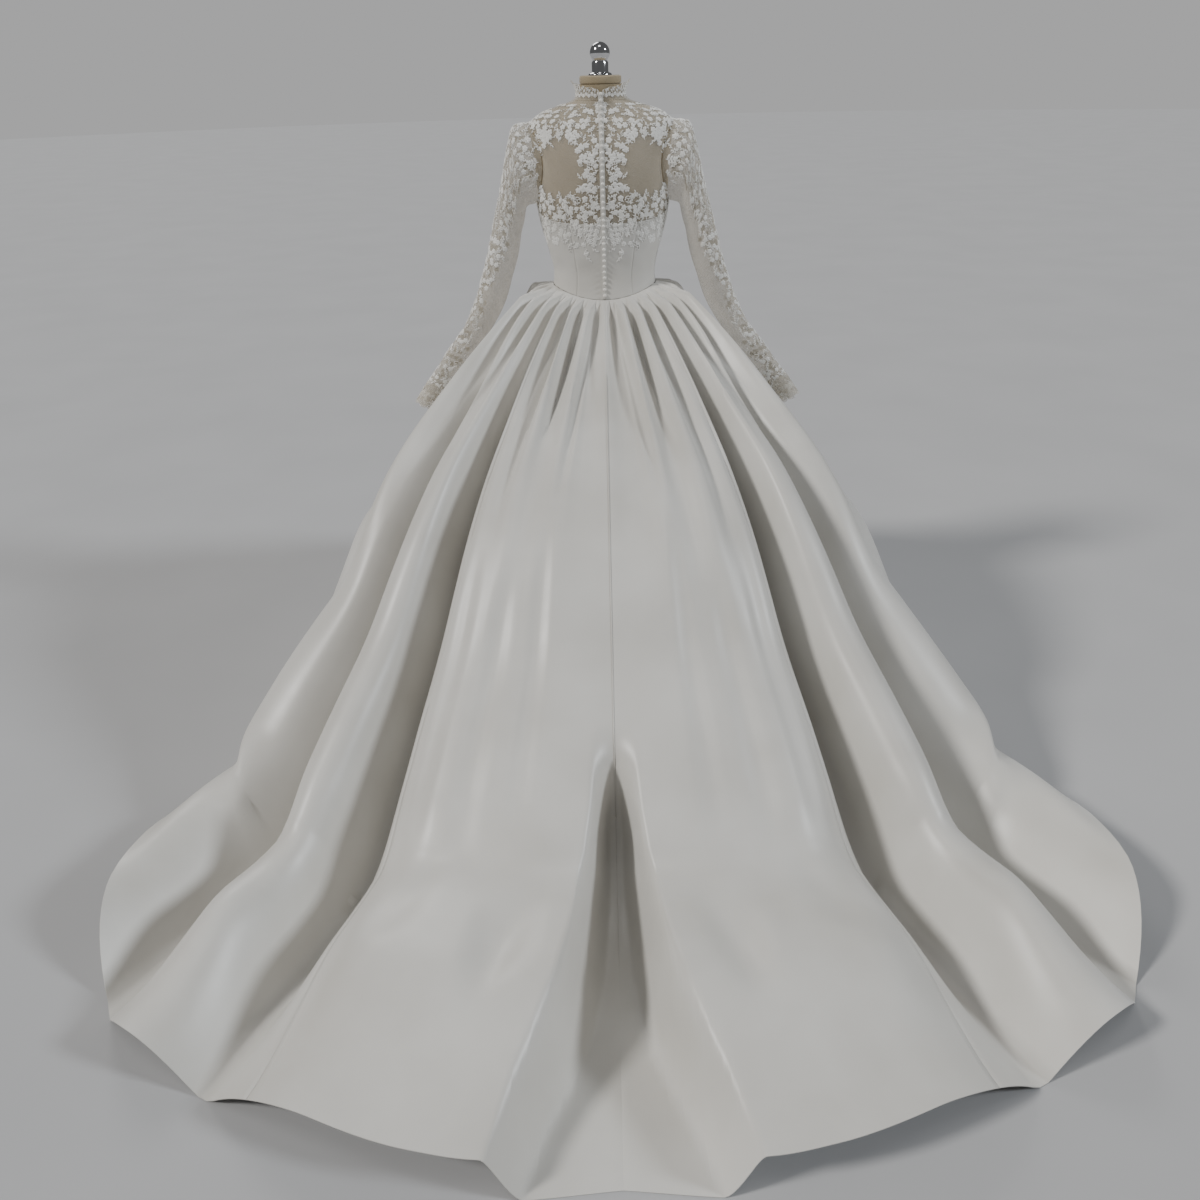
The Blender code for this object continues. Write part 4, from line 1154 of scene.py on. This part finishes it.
@dataclass
class Sleeves:
    """Long sheer sleeves, filled out, with scalloped lace cuffs."""

    body: BodyShape
    skins: Skins
    wall: float = 0.0006
    sides: int = 56
    rows_per_ring: int = 9
    cuff_length: float = 0.070
    cuff_scallops: int = 7
    cuff_depth: float = 0.006
    cuff_sides: int = 112
    cuff_rows: int = 16
    cuff_flare: float = 0.05
    cuff_lift: float = 0.0018
    seam_gap: float = 0.001
    seam_lift: float = 0.0016
    wrinkle_height: float = 0.0016
    wrinkle_rings: tuple = (0.6, 2.0, 9.6, 10.6)

    def rings(self) -> np.ndarray:
        """Rings of points down the left sleeve, armhole first."""
        turns = circle(self.sides)
        high = self.body.armhole_half_height - self.seam_gap
        z = self.body.armhole_centre_z + high * np.cos(turns)
        y = (self.body.armhole_half_depth - self.seam_gap) * np.sin(turns)
        front = smooth_read(self.body.z, self.body.front, z)
        back = smooth_read(self.body.z, self.body.back, z)
        across = np.sqrt(1 - (y / np.where(y < 0, front, back)) ** 2)
        x = self.body.half_width(z) * across + self.seam_lift
        rings = [np.stack([x, y, z], axis=-1)]
        for ring in SLEEVE_RINGS.records():
            top = np.array([ring["outer_x"], ring["y"], ring["outer_z"]])
            bottom = np.array([ring["inner_x"], ring["y"], ring["inner_z"]])
            points = (top + bottom) / 2 + (top - bottom) / 2 * np.cos(turns)[:, None]
            points[:, 1] += ring["half_depth"] * np.sin(turns)
            rings.append(points)
        return np.array(rings)

    def left_grid(self) -> np.ndarray:
        """Fine grid of the left sleeve, with the soft wrinkles of filled net."""
        rings = self.rings()
        places = np.linspace(0, len(rings) - 1, (len(rings) - 1) * self.rows_per_ring + 1)
        numbers = np.arange(len(rings), dtype=float)
        fine = np.empty((len(places), self.sides, 3))
        for k in range(self.sides):
            for axis in range(3):
                fine[:, k, axis] = smooth_read(numbers, rings[:, k, axis], places)
        middle = fine.mean(axis=1, keepdims=True)
        turns = circle(self.sides)[None, :]
        rows = places[:, None]
        wrinkle = np.sin(turns * 4 + rows * 1.1) * np.sin(rows * 2.1 + np.sin(turns * 2))
        wrinkle = self.wrinkle_height * wrinkle * within(rows, self.wrinkle_rings)
        return fine + unit(fine - middle) * wrinkle[..., None]

    def cuff_grid(self, sleeve: np.ndarray) -> np.ndarray:
        """Fine grid of the left cuff, seated on the sleeve's end.

        Args:
            sleeve: Grid of the left sleeve.

        Returns:
            A grid of points with both edges scalloped.
        """
        end = sleeve[-1].mean(axis=0)
        along = unit(end - sleeve[-4].mean(axis=0))
        turns = circle(self.cuff_sides)
        last = self.rings()[-1]
        half = (last[0] - last[self.sides // 2]) / 2
        depth = float(SLEEVE_RINGS.column("half_depth")[-1])
        grid = []
        for share in np.linspace(0, 1, self.cuff_rows):
            grow = 1.0 + self.cuff_flare * (1 - share)
            centre = end - along * self.cuff_length * (1 - share)
            ring = centre + half * grow * np.cos(turns)[:, None]
            ring[:, 1] += depth * grow * np.sin(turns)
            ring = ring + unit(ring - ring.mean(axis=0)) * self.cuff_lift
            wave = self.cuff_depth * np.abs(np.sin(turns * self.cuff_scallops / 2))[:, None]
            grid.append(ring + along * wave * (share * 2 - 1))
        return np.array(grid)

    def build(self) -> None:
        """Makes both sleeves and both cuffs."""
        left = self.left_grid()
        cuff = self.cuff_grid(left)
        for side in Side:
            flip = np.array([side.value, 1, 1])
            for name, grid, cut in (
                ("sleeve_" + side.label, left * flip, (0.40, 0.86, 0.262)),
                ("cuff_" + side.label, cuff * flip, (0.20, 0.082, 0.0142)),
            ):
                way = unit(grid - grid.mean(axis=1, keepdims=True))
                self.skins.keep(grid, way, ring=True)
                made = add_cloth(name + "_net", grid, self.wall, NET, way, ring=True)
                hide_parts(name)


@dataclass
class Motifs:
    """The small corded shapes that the lace is made of, each a closed raised patch."""

    rim: float = 0.0010
    hollow: float = 0.0005
    steps_long: int = 5
    steps_wide: int = 4
    sunk: float = 0.0002
    end_share: float = 0.4
    cord_sides: int = 4
    bead_sides: int = 6
    bead_rings: tuple = ((1.0, 0.0), (0.8, 0.9), (0.3, 1.4))

    def patch(self, outline: np.ndarray, along: np.ndarray, rib: float) -> tuple[np.ndarray, list]:
        """A raised patch with a corded rim.

        Args:
            outline: Half widths along the patch.
            along: Places of those half widths.
            rib: Height of a rib down the middle.

        Returns:
            Points as across, along and height, and faces.
        """
        wide, rows = self.steps_wide, len(along)
        v = np.linspace(-1, 1, wide)
        heights = [max(rib, self.hollow), self.rim, -self.sunk]
        profile = np.interp(np.abs(v), [0, 0.5, 1.0], heights)
        top = np.array([(w * q, a, h) for w, a in zip(outline, along) for q, h in zip(v, profile)])
        top[:wide, 2] *= self.end_share
        top[-wide:, 2] *= self.end_share
        ring = list(range(wide)) + [i * wide + wide - 1 for i in range(1, rows)]
        ring += [(rows - 1) * wide + j for j in range(wide - 2, -1, -1)]
        ring += [i * wide for i in range(rows - 2, 0, -1)]
        return top, grid_faces(rows, wide, False) + [tuple(reversed(ring))]

    def petal(self, length: float, width: float) -> tuple[np.ndarray, list]:
        """A round-ended petal that starts near the flower's middle."""
        t = np.linspace(0, 1, self.steps_long)
        shape = width * np.sin(np.pi * (0.12 + 0.78 * t**0.8)) ** 0.8
        return self.patch(shape, length * (0.16 + 0.84 * t), 0.0)

    def leaf(self, length: float, width: float) -> tuple[np.ndarray, list]:
        """A pointed leaf with a rib."""
        t = np.linspace(0, 1, self.steps_long)
        shape = width * np.sin(np.pi * (0.06 + 0.88 * t)) ** 1.1 + 0.0002
        return self.patch(shape, length * t, self.rim * 1.1)

    def cord(self, path: np.ndarray, radius: float = 0.0007) -> tuple[np.ndarray, list]:
        """A cord laid along a path.

        Args:
            path: Points as across and along.
            radius: Radius of the cord.

        Returns:
            Points and faces.
        """
        way = unit(np.gradient(path, axis=0))
        side = np.stack([way[:, 1], -way[:, 0]], axis=-1)
        turns = circle(self.cord_sides)
        rings = []
        for p, s in zip(path, side):
            for turn in turns:
                across = p + s * radius * math.cos(turn)
                rings.append((across[0], across[1], radius * (0.8 + math.sin(turn))))
        return np.array(rings), turned_faces(len(path), self.cord_sides)

    def bead(self, radius: float) -> tuple[np.ndarray, list]:
        """A low round bead."""
        rings = []
        for share, height in self.bead_rings:
            for turn in circle(self.bead_sides):
                out = radius * share
                rings.append((out * math.cos(turn), out * math.sin(turn), radius * height))
        return np.array(rings), turned_faces(len(self.bead_rings), self.bead_sides)


def trail(angle: np.ndarray, length: float) -> np.ndarray:
    """A path in the cloth from its root.

    Args:
        angle: Heading at each point of the path, in radians.
        length: Length of the path.

    Returns:
        Points as across and along.
    """
    steps = np.stack([-np.sin(angle), np.cos(angle)], axis=-1) * length / (len(angle) - 1)
    return np.concatenate([[[0.0, 0.0]], np.cumsum(steps[1:], axis=0)])


class LaceWork:
    """Flowers, leaves, sprays and scrolls laid on the cloth, one side at a time."""

    LIFT = 0.0004
    SPRIG_POINTS = 5
    SCROLL_POINTS = 10
    SCROLL_TURN = 3.6

    def __init__(self, skins: Skins, seed: int) -> None:
        """Starts an empty piece of lace over the skins, with a fixed seed."""
        self.tree = skins.tree()
        self.draw = np.random.default_rng(seed)
        self.motifs = Motifs()
        self.points: list = []
        self.faces: list = []
        self.count = 0

    def place(self, shape: tuple, frame_of: tuple, turn: float, shift: tuple = (0.0, 0.0)) -> None:
        """Lays one shape on the cloth.

        Args:
            shape: Points as across, along and height, and faces.
            frame_of: Anchor point and two directions in the cloth.
            turn: Angle of the shape in the cloth, in radians.
            shift: Place of the shape's root before it is turned.
        """
        local, faces = shape
        anchor, tx, ty = frame_of
        c, s = math.cos(turn), math.sin(turn)
        x = (local[:, 0] * c - local[:, 1] * s) + shift[0]
        y = (local[:, 0] * s + local[:, 1] * c) + shift[1]
        guesses = anchor + x[:, None] * tx + y[:, None] * ty
        for guess, height in zip(guesses, local[:, 2]):
            spot, normal, _, _ = self.tree.find_nearest(Vector(guess))
            self.points.append(spot + normal * (height + self.LIFT))
        self.faces.extend(tuple(self.count + p for p in face) for face in faces)
        self.count += len(local)

    def flower(self, frame_of: tuple, radius: float, petals: int = 5) -> None:
        """Lays a flower with a beaded middle."""
        start = self.draw.uniform(0, 2 * np.pi)
        width = radius * math.sin(math.pi / petals) * 0.80
        for k in range(petals):
            size = radius * self.draw.uniform(0.90, 1.08)
            self.place(self.motifs.petal(size, width), frame_of, start + 2 * math.pi * k / petals)
        self.place(self.motifs.bead(radius * 0.20), frame_of, 0.0)

    def sprig(self, frame_of: tuple, heading: float, length: float, leaves: int = 5) -> None:
        """Lays a curved stem with leaves on both sides and one at its tip."""
        bend = self.draw.uniform(-0.5, 0.5)
        t = np.linspace(0, 1, self.SPRIG_POINTS)
        path = trail(heading + bend * (t - 0.5), length)
        self.place(self.motifs.cord(path), frame_of, 0.0)
        for k in range(leaves):
            at = (k + 0.8) / (leaves + 0.4)
            root = tuple(float(np.interp(at, t, path[:, axis])) for axis in (0, 1))
            lean = (0.75 if k % 2 else -0.75) * (1.0 - 0.5 * at)
            size = length * 0.42 * (1.15 - 0.5 * at)
            self.place(self.motifs.leaf(size, size * 0.26), frame_of, heading + lean, root)
        tip = tuple(path[-1].tolist())
        self.place(self.motifs.leaf(length * 0.32, length * 0.09), frame_of, heading + bend * 0.5, tip)

    def scroll(self, frame_of: tuple, heading: float, length: float) -> None:
        """Lays a curling tendril with a bead at its end."""
        t = np.linspace(0, 1, self.SCROLL_POINTS)
        curl = self.draw.choice([-1.0, 1.0]) * self.SCROLL_TURN
        path = trail(heading + curl * t**2, length)
        self.place(self.motifs.cord(path, radius=0.0008), frame_of, 0.0)
        self.place(self.motifs.bead(radius=0.0016), frame_of, 0.0, tuple(path[-1].tolist()))

    def finish(self, name: str, side: Side) -> bpy.types.Object:
        """Makes the piece, mirrored for the right side.

        Args:
            name: Name of the piece, without its side.
            side: Side of the dress.

        Returns:
            The new object.
        """
        points = np.array([tuple(p) for p in self.points]) * np.array([side.value, 1, 1])
        faces = self.faces if side is Side.LEFT else [face[::-1] for face in self.faces]
        return add_mesh(f"{name}_{side.label}", points, faces, LACE, 80.0)


@dataclass(frozen=True)
class Window:
    """Bare net on each side of the yoke, a rounded oblong that may narrow away from one height."""

    x: float
    z: float
    half_width: float
    half_height: float
    narrowing: float = 0.0
    widest_z: float = 0.0
    power: int = 4

    def holds(self, x: float, z: float) -> bool:
        """Whether a place lies in the bare net."""
        width = self.half_width - self.narrowing * abs(z - self.widest_z)
        across = ((x - self.x) / width) ** self.power
        return across + ((z - self.z) / self.half_height) ** self.power < 1


@dataclass
class Lace:
    """Where the lace lies: the yoke, the collar, the sleeves and the upper edge of the satin."""

    body: BodyShape
    skins: Skins
    sleeves: Sleeves
    spacing: float = 0.0132
    back_window: Window = Window(0.106, 1.340, 0.060, 0.066, narrowing=0.35, widest_z=1.325)
    front_window: Window = Window(0.085, 1.370, 0.050, 0.045)
    back_fade_z: float = 1.150
    side_fade_rise: float = 0.030
    front_fade_z: float = 1.205
    low_z: float = 1.125
    high_z: float = 1.4895
    yoke_row: float = 0.84
    sleeve_row: float = 0.88
    armhole_margin: float = 0.03
    satin_lap: float = 0.10
    sprays: int = 14
    spray_reach: tuple = (0.056, 0.062)
    collar_places: int = 24
    collar_z: float = 1.503
    collar_flower: float = 0.0046
    collar_sprig: float = 0.017
    sleeve_ends: tuple = (0.012, 0.006)

    def frame_on_body(self, angle: float, z: float) -> tuple:
        """Anchor and directions on the figure: across it and up it."""
        step = 1e-3
        here = self.body.point(angle, z)
        across = unit(self.body.point(angle + step, z) - here)
        up = unit(self.body.point(angle, z + step) - here)
        return here, across, up

    def cover(self, turned: float, z: float) -> float:
        """How thick the lace lies at a place of the yoke, from 0 for bare net to 1.

        Args:
            turned: Degrees from the front centre.
            z: Height.

        Returns:
            The share of places that hold a motif.
        """
        x = abs(float(self.body.point(math.radians(turned), z)[0]))
        fade, window = self.front_fade_z, self.front_window
        if turned > 90:
            fade = self.back_fade_z + self.side_fade_rise * smoothstep(0.02, 0.14, x)
            window = self.back_window
        return 0.0 if window.holds(x, z) else float(smoothstep(fade - 0.035, fade + 0.012, z))

    def anchors(self, start: float, end: float) -> list[tuple[float, float]]:
        """Staggered places over the left of the yoke between two angles from the front centre."""
        draw = np.random.default_rng(int(start) + 3)
        places = []
        z = self.low_z
        row = 0
        while z < self.high_z:
            width = float(self.body.half_width(z)) * 0.92
            step = math.degrees(self.spacing / width)
            turned = start + (0.5 if row % 2 else 0.0) * step + 1.5
            while turned < end - 2.0:
                angle = math.radians(turned)
                hole = float(self.body.armhole_half_angle(angle, np.array(z)))
                beside = abs(angle - math.pi / 2) > hole + self.armhole_margin
                above = z > float(self.body.satin_top_z(angle)) - self.satin_lap
                if beside and above and draw.uniform() < self.cover(turned, z):
                    aside = draw.uniform(-0.18, 0.18) * step
                    places.append((turned + aside, z + draw.uniform(-0.002, 0.002)))
                turned += step
            z += self.spacing * self.yoke_row
            row += 1
        return places

    def lay_yoke(self, work: LaceWork, start: float, end: float) -> None:
        """Covers the left of the yoke between two angles with flowers, sprigs and scrolls."""
        for k, (turned, z) in enumerate(self.anchors(start, end)):
            spot = self.frame_on_body(math.radians(turned), z)
            kind = work.draw.uniform()
            if kind < 0.42:
                work.flower(spot, self.spacing * work.draw.uniform(0.48, 0.60), 5 + k % 2)
            elif kind < 0.88:
                work.sprig(spot, work.draw.uniform(0, 2 * np.pi), self.spacing * 1.15, 4)
            else:
                work.scroll(spot, work.draw.uniform(0, 2 * np.pi), self.spacing * 1.5)

    def lay_window_sprays(self, work: LaceWork) -> None:
        """Lays the sprays that reach into the bare net on the back."""
        for k in range(self.sprays):
            around = 2 * math.pi * (k + 0.5) / self.sprays
            x = self.back_window.x + self.spray_reach[0] * math.cos(around)
            z = self.back_window.z + self.spray_reach[1] * math.sin(around)
            depth = float(self.body.half_width(z))
            angle = math.pi - math.asin(min(x / depth, 0.97))
            spot = self.frame_on_body(angle, z)
            inward = math.atan2(math.cos(around), -math.sin(around))
            heading = math.pi - inward if k % 2 else math.pi - inward + 0.35
            work.sprig(spot, heading, 0.024 if k % 2 else 0.038, 6)

    def lay_collar(self, work: LaceWork) -> None:
        """Covers the left of the collar."""
        up = np.array([0.0, 0.0, 1.0])
        for k in range(self.collar_places):
            angle = math.radians(5 + 170 * k / (self.collar_places - 1))
            across = np.array([math.cos(angle), math.sin(angle), 0.0])
            high = self.collar_z + 0.0035 * (k % 2)
            work.flower((self.body.point(angle, high, 0.003), across, up), self.collar_flower, 5)
            lean = work.draw.uniform(-0.5, 0.5)
            root = self.body.point(angle, high + 0.004, 0.006 if k % 2 else 0.011)
            work.sprig((root, across, up), lean, self.collar_sprig, 4)

    def lay_sleeve(self, work: LaceWork) -> None:
        """Covers the outer side of the left sleeve, and all of it near the cuff."""
        grid = self.sleeves.left_grid()
        rows, sides = grid.shape[:2]
        lengths = np.linalg.norm(np.diff(grid.mean(axis=1), axis=0), axis=1)
        travelled = np.concatenate([[0.0], np.cumsum(lengths)])
        total = travelled[-1]
        at = self.sleeve_ends[0]
        row = 0
        while at < total - self.sleeve_ends[1]:
            i = int(np.clip(np.searchsorted(travelled, at), 1, rows - 2))
            share = at / total
            radius = float(np.linalg.norm(grid[i] - grid[i].mean(axis=0), axis=1).mean())
            count = max(int(2 * math.pi * radius / self.spacing), 8)
            for k in range(count):
                turn = 2 * math.pi * (k + 0.5 * (row % 2)) / count
                if not self.on_sleeve(share, math.cos(turn), work.draw.uniform()):
                    continue
                j = int(round(turn / (2 * math.pi) * sides)) % sides
                along = unit(grid[i + 1, j] - grid[i - 1, j])
                across = unit(grid[i, (j + 1) % sides] - grid[i, j - 1])
                spot = (grid[i, j], across, -along)
                kind = work.draw.uniform()
                if kind < 0.36:
                    work.flower(spot, self.spacing * work.draw.uniform(0.46, 0.58), 5)
                elif kind < 0.86:
                    heading = work.draw.uniform(-0.8, 0.8) + (0 if k % 2 else math.pi)
                    work.sprig(spot, heading, self.spacing * 1.1, 4)
                else:
                    work.scroll(spot, work.draw.uniform(0, 2 * np.pi), self.spacing * 1.6)
            at += self.spacing * self.sleeve_row
            row += 1

    def on_sleeve(self, share: float, outward: float, chance: float) -> bool:
        """Whether lace lies at a place of the sleeve.

        Args:
            share: Share of the way from armhole to cuff.
            outward: 1 on the outer edge, -1 on the inner edge.
            chance: A number between 0 and 1 that thins the lace out.

        Returns:
            True where a motif lies.
        """
        limit = np.interp(share, SLEEVE_LACE.column("share"), SLEEVE_LACE.column("limit"))
        held = np.interp(share, SLEEVE_THINNING.column("share"), SLEEVE_THINNING.column("held"))
        return outward > limit and chance < held

    def build(self) -> None:
        """Makes the lace of the back, the front and the sleeves, left and then right."""
        back = LaceWork(self.skins, 21)
        self.lay_yoke(back, 90, 180)
        self.lay_window_sprays(back)
        self.lay_collar(back)
        front = LaceWork(self.skins, 33)
        self.lay_yoke(front, 0, 90)
        sleeve = LaceWork(self.skins, 45)
        self.lay_sleeve(sleeve)
        for side in Side:
            back.finish("lace_back", side)
            front.finish("lace_front", side)
            sleeve.finish("lace_sleeve", side)


@dataclass
class BackClosure:
    """The placket strip and its row of covered buttons."""

    body: BodyShape
    half_width: float = 0.0065
    wall: float = 0.0012
    button_count: int = 34
    nodes: int = 32
    button_radius: float = 0.0043
    top_z: float = 1.507
    button_sides: int = 16
    first_button: float = 0.011
    end_margin: float = 0.003
    rows: int = 90
    columns: int = 7
    lift: float = 0.0008
    edge_drop: float = 0.0006
    neck_step: float = 0.0042

    def outer_y(self, z: np.ndarray) -> np.ndarray:
        """Outer face of the strip in Y at a height."""
        depth = smooth_read(self.body.z, self.body.back, z)
        return depth + self.lift + self.wall + self.neck_step * smoothstep(1.484, 1.494, z)

    def build(self) -> None:
        """Makes the strip and the buttons."""
        low = float(self.body.waist_z(np.pi))
        heights = np.linspace(low + self.end_margin, self.top_z + self.end_margin, self.rows)
        across = np.linspace(self.half_width, -self.half_width, self.columns)
        edge = (across[None, :] / self.half_width) ** 4
        depth = self.outer_y(heights)[:, None] - self.edge_drop * edge
        outer = np.stack([across[None, :] + 0 * depth, depth, heights[:, None] + 0 * depth], axis=-1)
        way = np.broadcast_to(np.array([0.0, 1.0, 0.0]), outer.shape).copy()
        strip = add_cloth("placket_strip", outer, self.wall, SATIN, way)
        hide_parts("placket")
        self.build_buttons(low + self.first_button)

    def build_buttons(self, low: float) -> None:
        """Makes the domed buttons as one piece.

        Args:
            low: Height of the lowest button.
        """
        points: list = []
        faces: list = []
        rings = BUTTON_RINGS.rows
        for k in range(self.button_count):
            z = self.top_z - (self.top_z - low) * k / (self.button_count - 1)
            back = float(self.outer_y(np.array([z - 0.004, z, z + 0.004])).max()) + 0.0002
            first = len(points)
            for share, out in rings:
                for turn in circle(self.button_sides):
                    side = self.button_radius * share
                    points.append((side * math.cos(turn), back + out, z - side * math.sin(turn)))
            button = turned_faces(len(rings), self.button_sides)
            faces.extend(tuple(first + p for p in face) for face in button)
        made = add_mesh("button_row", np.array(points), faces, PEARL, 70.0)
        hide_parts(*(f"button_{k:02d}" for k in range(1, self.nodes + 1)))


@dataclass
class DressForm:
    """The limbless form: a covered torso, its neck cap and knob, and the floor stand."""

    body: BodyShape
    bottom_z: float = 0.830
    neck_top_z: float = 1.5275
    shoulder_clearance: float = 0.0012
    torso_inset: float = 0.0066
    neck_inset: float = 0.0007
    sides: int = 96
    rings: int = 90
    neck_zone: tuple = (1.497, 1.508)
    gap: float = 0.0003
    cap_height: float = 0.019
    cap_radius: float = 0.052
    stem_height: float = 0.030
    stem_radius: float = 0.0205
    ball_radius: float = 0.0245
    pole_low: float = 0.0303
    pole_radius: float = 0.0160

    def build_torso(self) -> None:
        """Makes the covered torso with its flat base and neck."""
        turns = circle(self.sides)
        points = []
        for z in np.linspace(self.bottom_z, self.neck_top_z, self.rings):
            neck = float(smoothstep(*self.neck_zone, z))
            inset = self.torso_inset * (1 - neck) + self.neck_inset * neck
            ring = self.body.point(turns, z + self.shoulder_clearance * (1 - neck), -inset)
            ring[:, 2] = z
            points.extend(ring.tolist())
        faces = turned_faces(self.rings, self.sides)
        made = add_mesh("form_torso_cover", np.array(points), faces, FORM_CLOTH, 50.0)
        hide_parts("form_torso")

    def turned(self, name: str, node: str, profile: list, finish: Finish) -> None:
        """Makes one turned piece of the stand.

        Args:
            name: Name of the piece.
            node: CAD node that it stands for.
            profile: Radius and height of each ring, bottom first.
            finish: Finish of the piece.
        """
        turns = circle(self.sides)
        points = [(r * math.cos(t), r * math.sin(t), z) for r, z in profile for t in turns]
        made = add_mesh(name, np.array(points), turned_faces(len(profile), self.sides), finish, 45.0)
        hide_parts(node)

    def rounded(self, radius: float, low: float, high: float, edge: float) -> list:
        """Profile of a disc with rounded edges."""
        quarter = [math.radians(a) for a in (-90, -60, -30, 0)]
        lower = [(radius - edge + edge * math.cos(a), low + edge + edge * math.sin(a)) for a in quarter]
        upper = [(r, low + high - z) for r, z in reversed(lower)]
        return lower + upper

    def build(self) -> None:
        """Makes the whole form."""
        self.build_torso()
        cap_low = self.neck_top_z + self.gap
        cap_top = cap_low + self.cap_height
        cap = self.rounded(self.cap_radius, cap_low, cap_top, 0.004)
        self.turned("form_cap", "form_neck_cap", cap, FORM_CLOTH)
        low = cap_top + self.gap
        stem_top = low + self.stem_height
        knob = [(0.029, low), (0.029, low + 0.002), (0.027, low + 0.004), (0.0212, low + 0.0065)]
        knob += [(self.stem_radius, low + 0.009), (self.stem_radius, stem_top - 0.002)]
        centre = stem_top + self.ball_radius * 0.80
        for degrees in range(-44, 89, 6):
            turn = math.radians(degrees)
            ball = (self.ball_radius * math.cos(turn), centre + self.ball_radius * math.sin(turn))
            knob.append(ball)
        self.turned("form_top_knob", "form_knob", knob, CHROME)
        low = self.pole_low
        pole = [(0.0256, low), (0.0256, low + 0.043), (0.0240, low + 0.046)]
        pole += [(self.pole_radius, low + 0.049), (self.pole_radius, self.bottom_z - self.gap)]
        self.turned("form_stand_pole", "form_pole", pole, STAND)
        self.turned("form_stand_base", "form_base", list(BASE_RINGS.rows), STAND)


@dataclass
class Studio:
    """A plain pale floor, soft lights and the camera at the photograph's angle."""

    camera_place: tuple[float, float, float] = (0.0, 3.0, 1.6)
    camera_pitch: float = 26.68
    camera_turn: float = 180.66
    camera_roll: float = -1.5
    lens: float = 32.754
    sensor: float = 36.0
    floor_radius: float = 30.0
    floor_sides: int = 96
    floor_drop: float = 0.0005
    sky_colour: Colour = (0.80, 0.81, 0.83, 1)
    sky_strength: float = 0.15
    backdrop_colour: Colour = (0.430, 0.430, 0.432, 1)

    def floor(self) -> None:
        """Makes the floor, which isn't part of the object."""
        turns = circle(self.floor_sides)
        radius = self.floor_radius
        points = [(radius * math.cos(t), radius * math.sin(t), -self.floor_drop) for t in turns]
        mesh = bpy.data.meshes.new("floor")
        mesh.from_pydata(points, [], [tuple(range(len(points)))])
        shader = Shader("floor_paint")
        low, high = (0.42, 0.42, 0.425, 1), (0.44, 0.44, 0.445, 1)
        shader.set(Base_Color=shader.ramp(shader.noise(scale=2.0), low, high), Roughness=0.9)
        mesh.materials.append(shader.material)
        made = bpy.data.objects.new("floor", mesh)
        link(made)

    def light(self, name: str, place: tuple, softness: float, power: float, warmth: tuple) -> None:
        """Adds a soft light from far off, aimed at the dress, which lights the whole floor evenly.

        Args:
            name: Name of the light.
            place: The direction that it comes from.
            softness: Width of the light as seen from the dress, in degrees.
            power: Strength of the light.
            warmth: Colour of the light.
        """
        lamp = bpy.data.lights.new(name, "SUN")
        lamp.angle = math.radians(softness)
        lamp.energy = power
        lamp.color = warmth
        made = bpy.data.objects.new(name, lamp)
        made.location = place
        made.rotation_euler = (-Vector(place)).to_track_quat("-Z", "Y").to_euler()
        link(made)

    def camera(self) -> None:
        """Adds the camera."""
        data = bpy.data.cameras.new("camera")
        data.sensor_width = self.sensor
        data.lens = self.lens
        made = bpy.data.objects.new("camera", data)
        turn = Euler((0.0, 0.0, math.radians(self.camera_turn))).to_matrix()
        tilt = Euler((math.pi / 2 - math.radians(self.camera_pitch), 0.0, 0.0)).to_matrix()
        roll = Euler((0.0, 0.0, math.radians(self.camera_roll))).to_matrix()
        made.matrix_world = Matrix.Translation(self.camera_place) @ (turn @ tilt @ roll).to_4x4()
        link(made)
        bpy.context.scene.camera = made

    def build(self) -> None:
        """Sets the floor, the lights, the world and the camera."""
        self.floor()
        for lamp in LIGHTS.records():
            self.light(**lamp)
        self.world()
        self.camera()

    def world(self) -> None:
        """Sets a dim sky that lights the dress, and the even backdrop that the camera sees."""
        world = bpy.data.worlds.new("studio")
        bpy.context.scene.world = world
        world.use_nodes = True
        nodes, links = world.node_tree.nodes, world.node_tree.links
        sky = nodes["Background"]
        sky.inputs["Color"].default_value = self.sky_colour
        sky.inputs["Strength"].default_value = self.sky_strength
        seen = nodes.new("ShaderNodeBackground")
        seen.inputs["Color"].default_value = self.backdrop_colour
        seen.inputs["Strength"].default_value = 1.0
        rays, mix = nodes.new("ShaderNodeLightPath"), nodes.new("ShaderNodeMixShader")
        links.new(rays.outputs["Is Camera Ray"], mix.inputs["Fac"])
        links.new(sky.outputs["Background"], mix.inputs[1])
        links.new(seen.outputs["Background"], mix.inputs[2])
        links.new(mix.outputs["Shader"], nodes["World Output"].inputs["Surface"])


def main() -> None:
    """Builds the dress on its form, and the studio round it."""
    logging.basicConfig(level=logging.INFO, format="%(name)s %(message)s")
    body = BodyShape()
    skins = Skins()
    sleeves = Sleeves(body, skins)
    Studio().build()
    DressForm(body).build()
    Bodice(body, skins).build()
    Yoke(body, skins).build()
    Collar(body, skins).build()
    sleeves.build()
    Skirt(body).build()
    BackClosure(body).build()
    Lace(body, skins, sleeves).build()


if __name__ == "__main__":
    main()
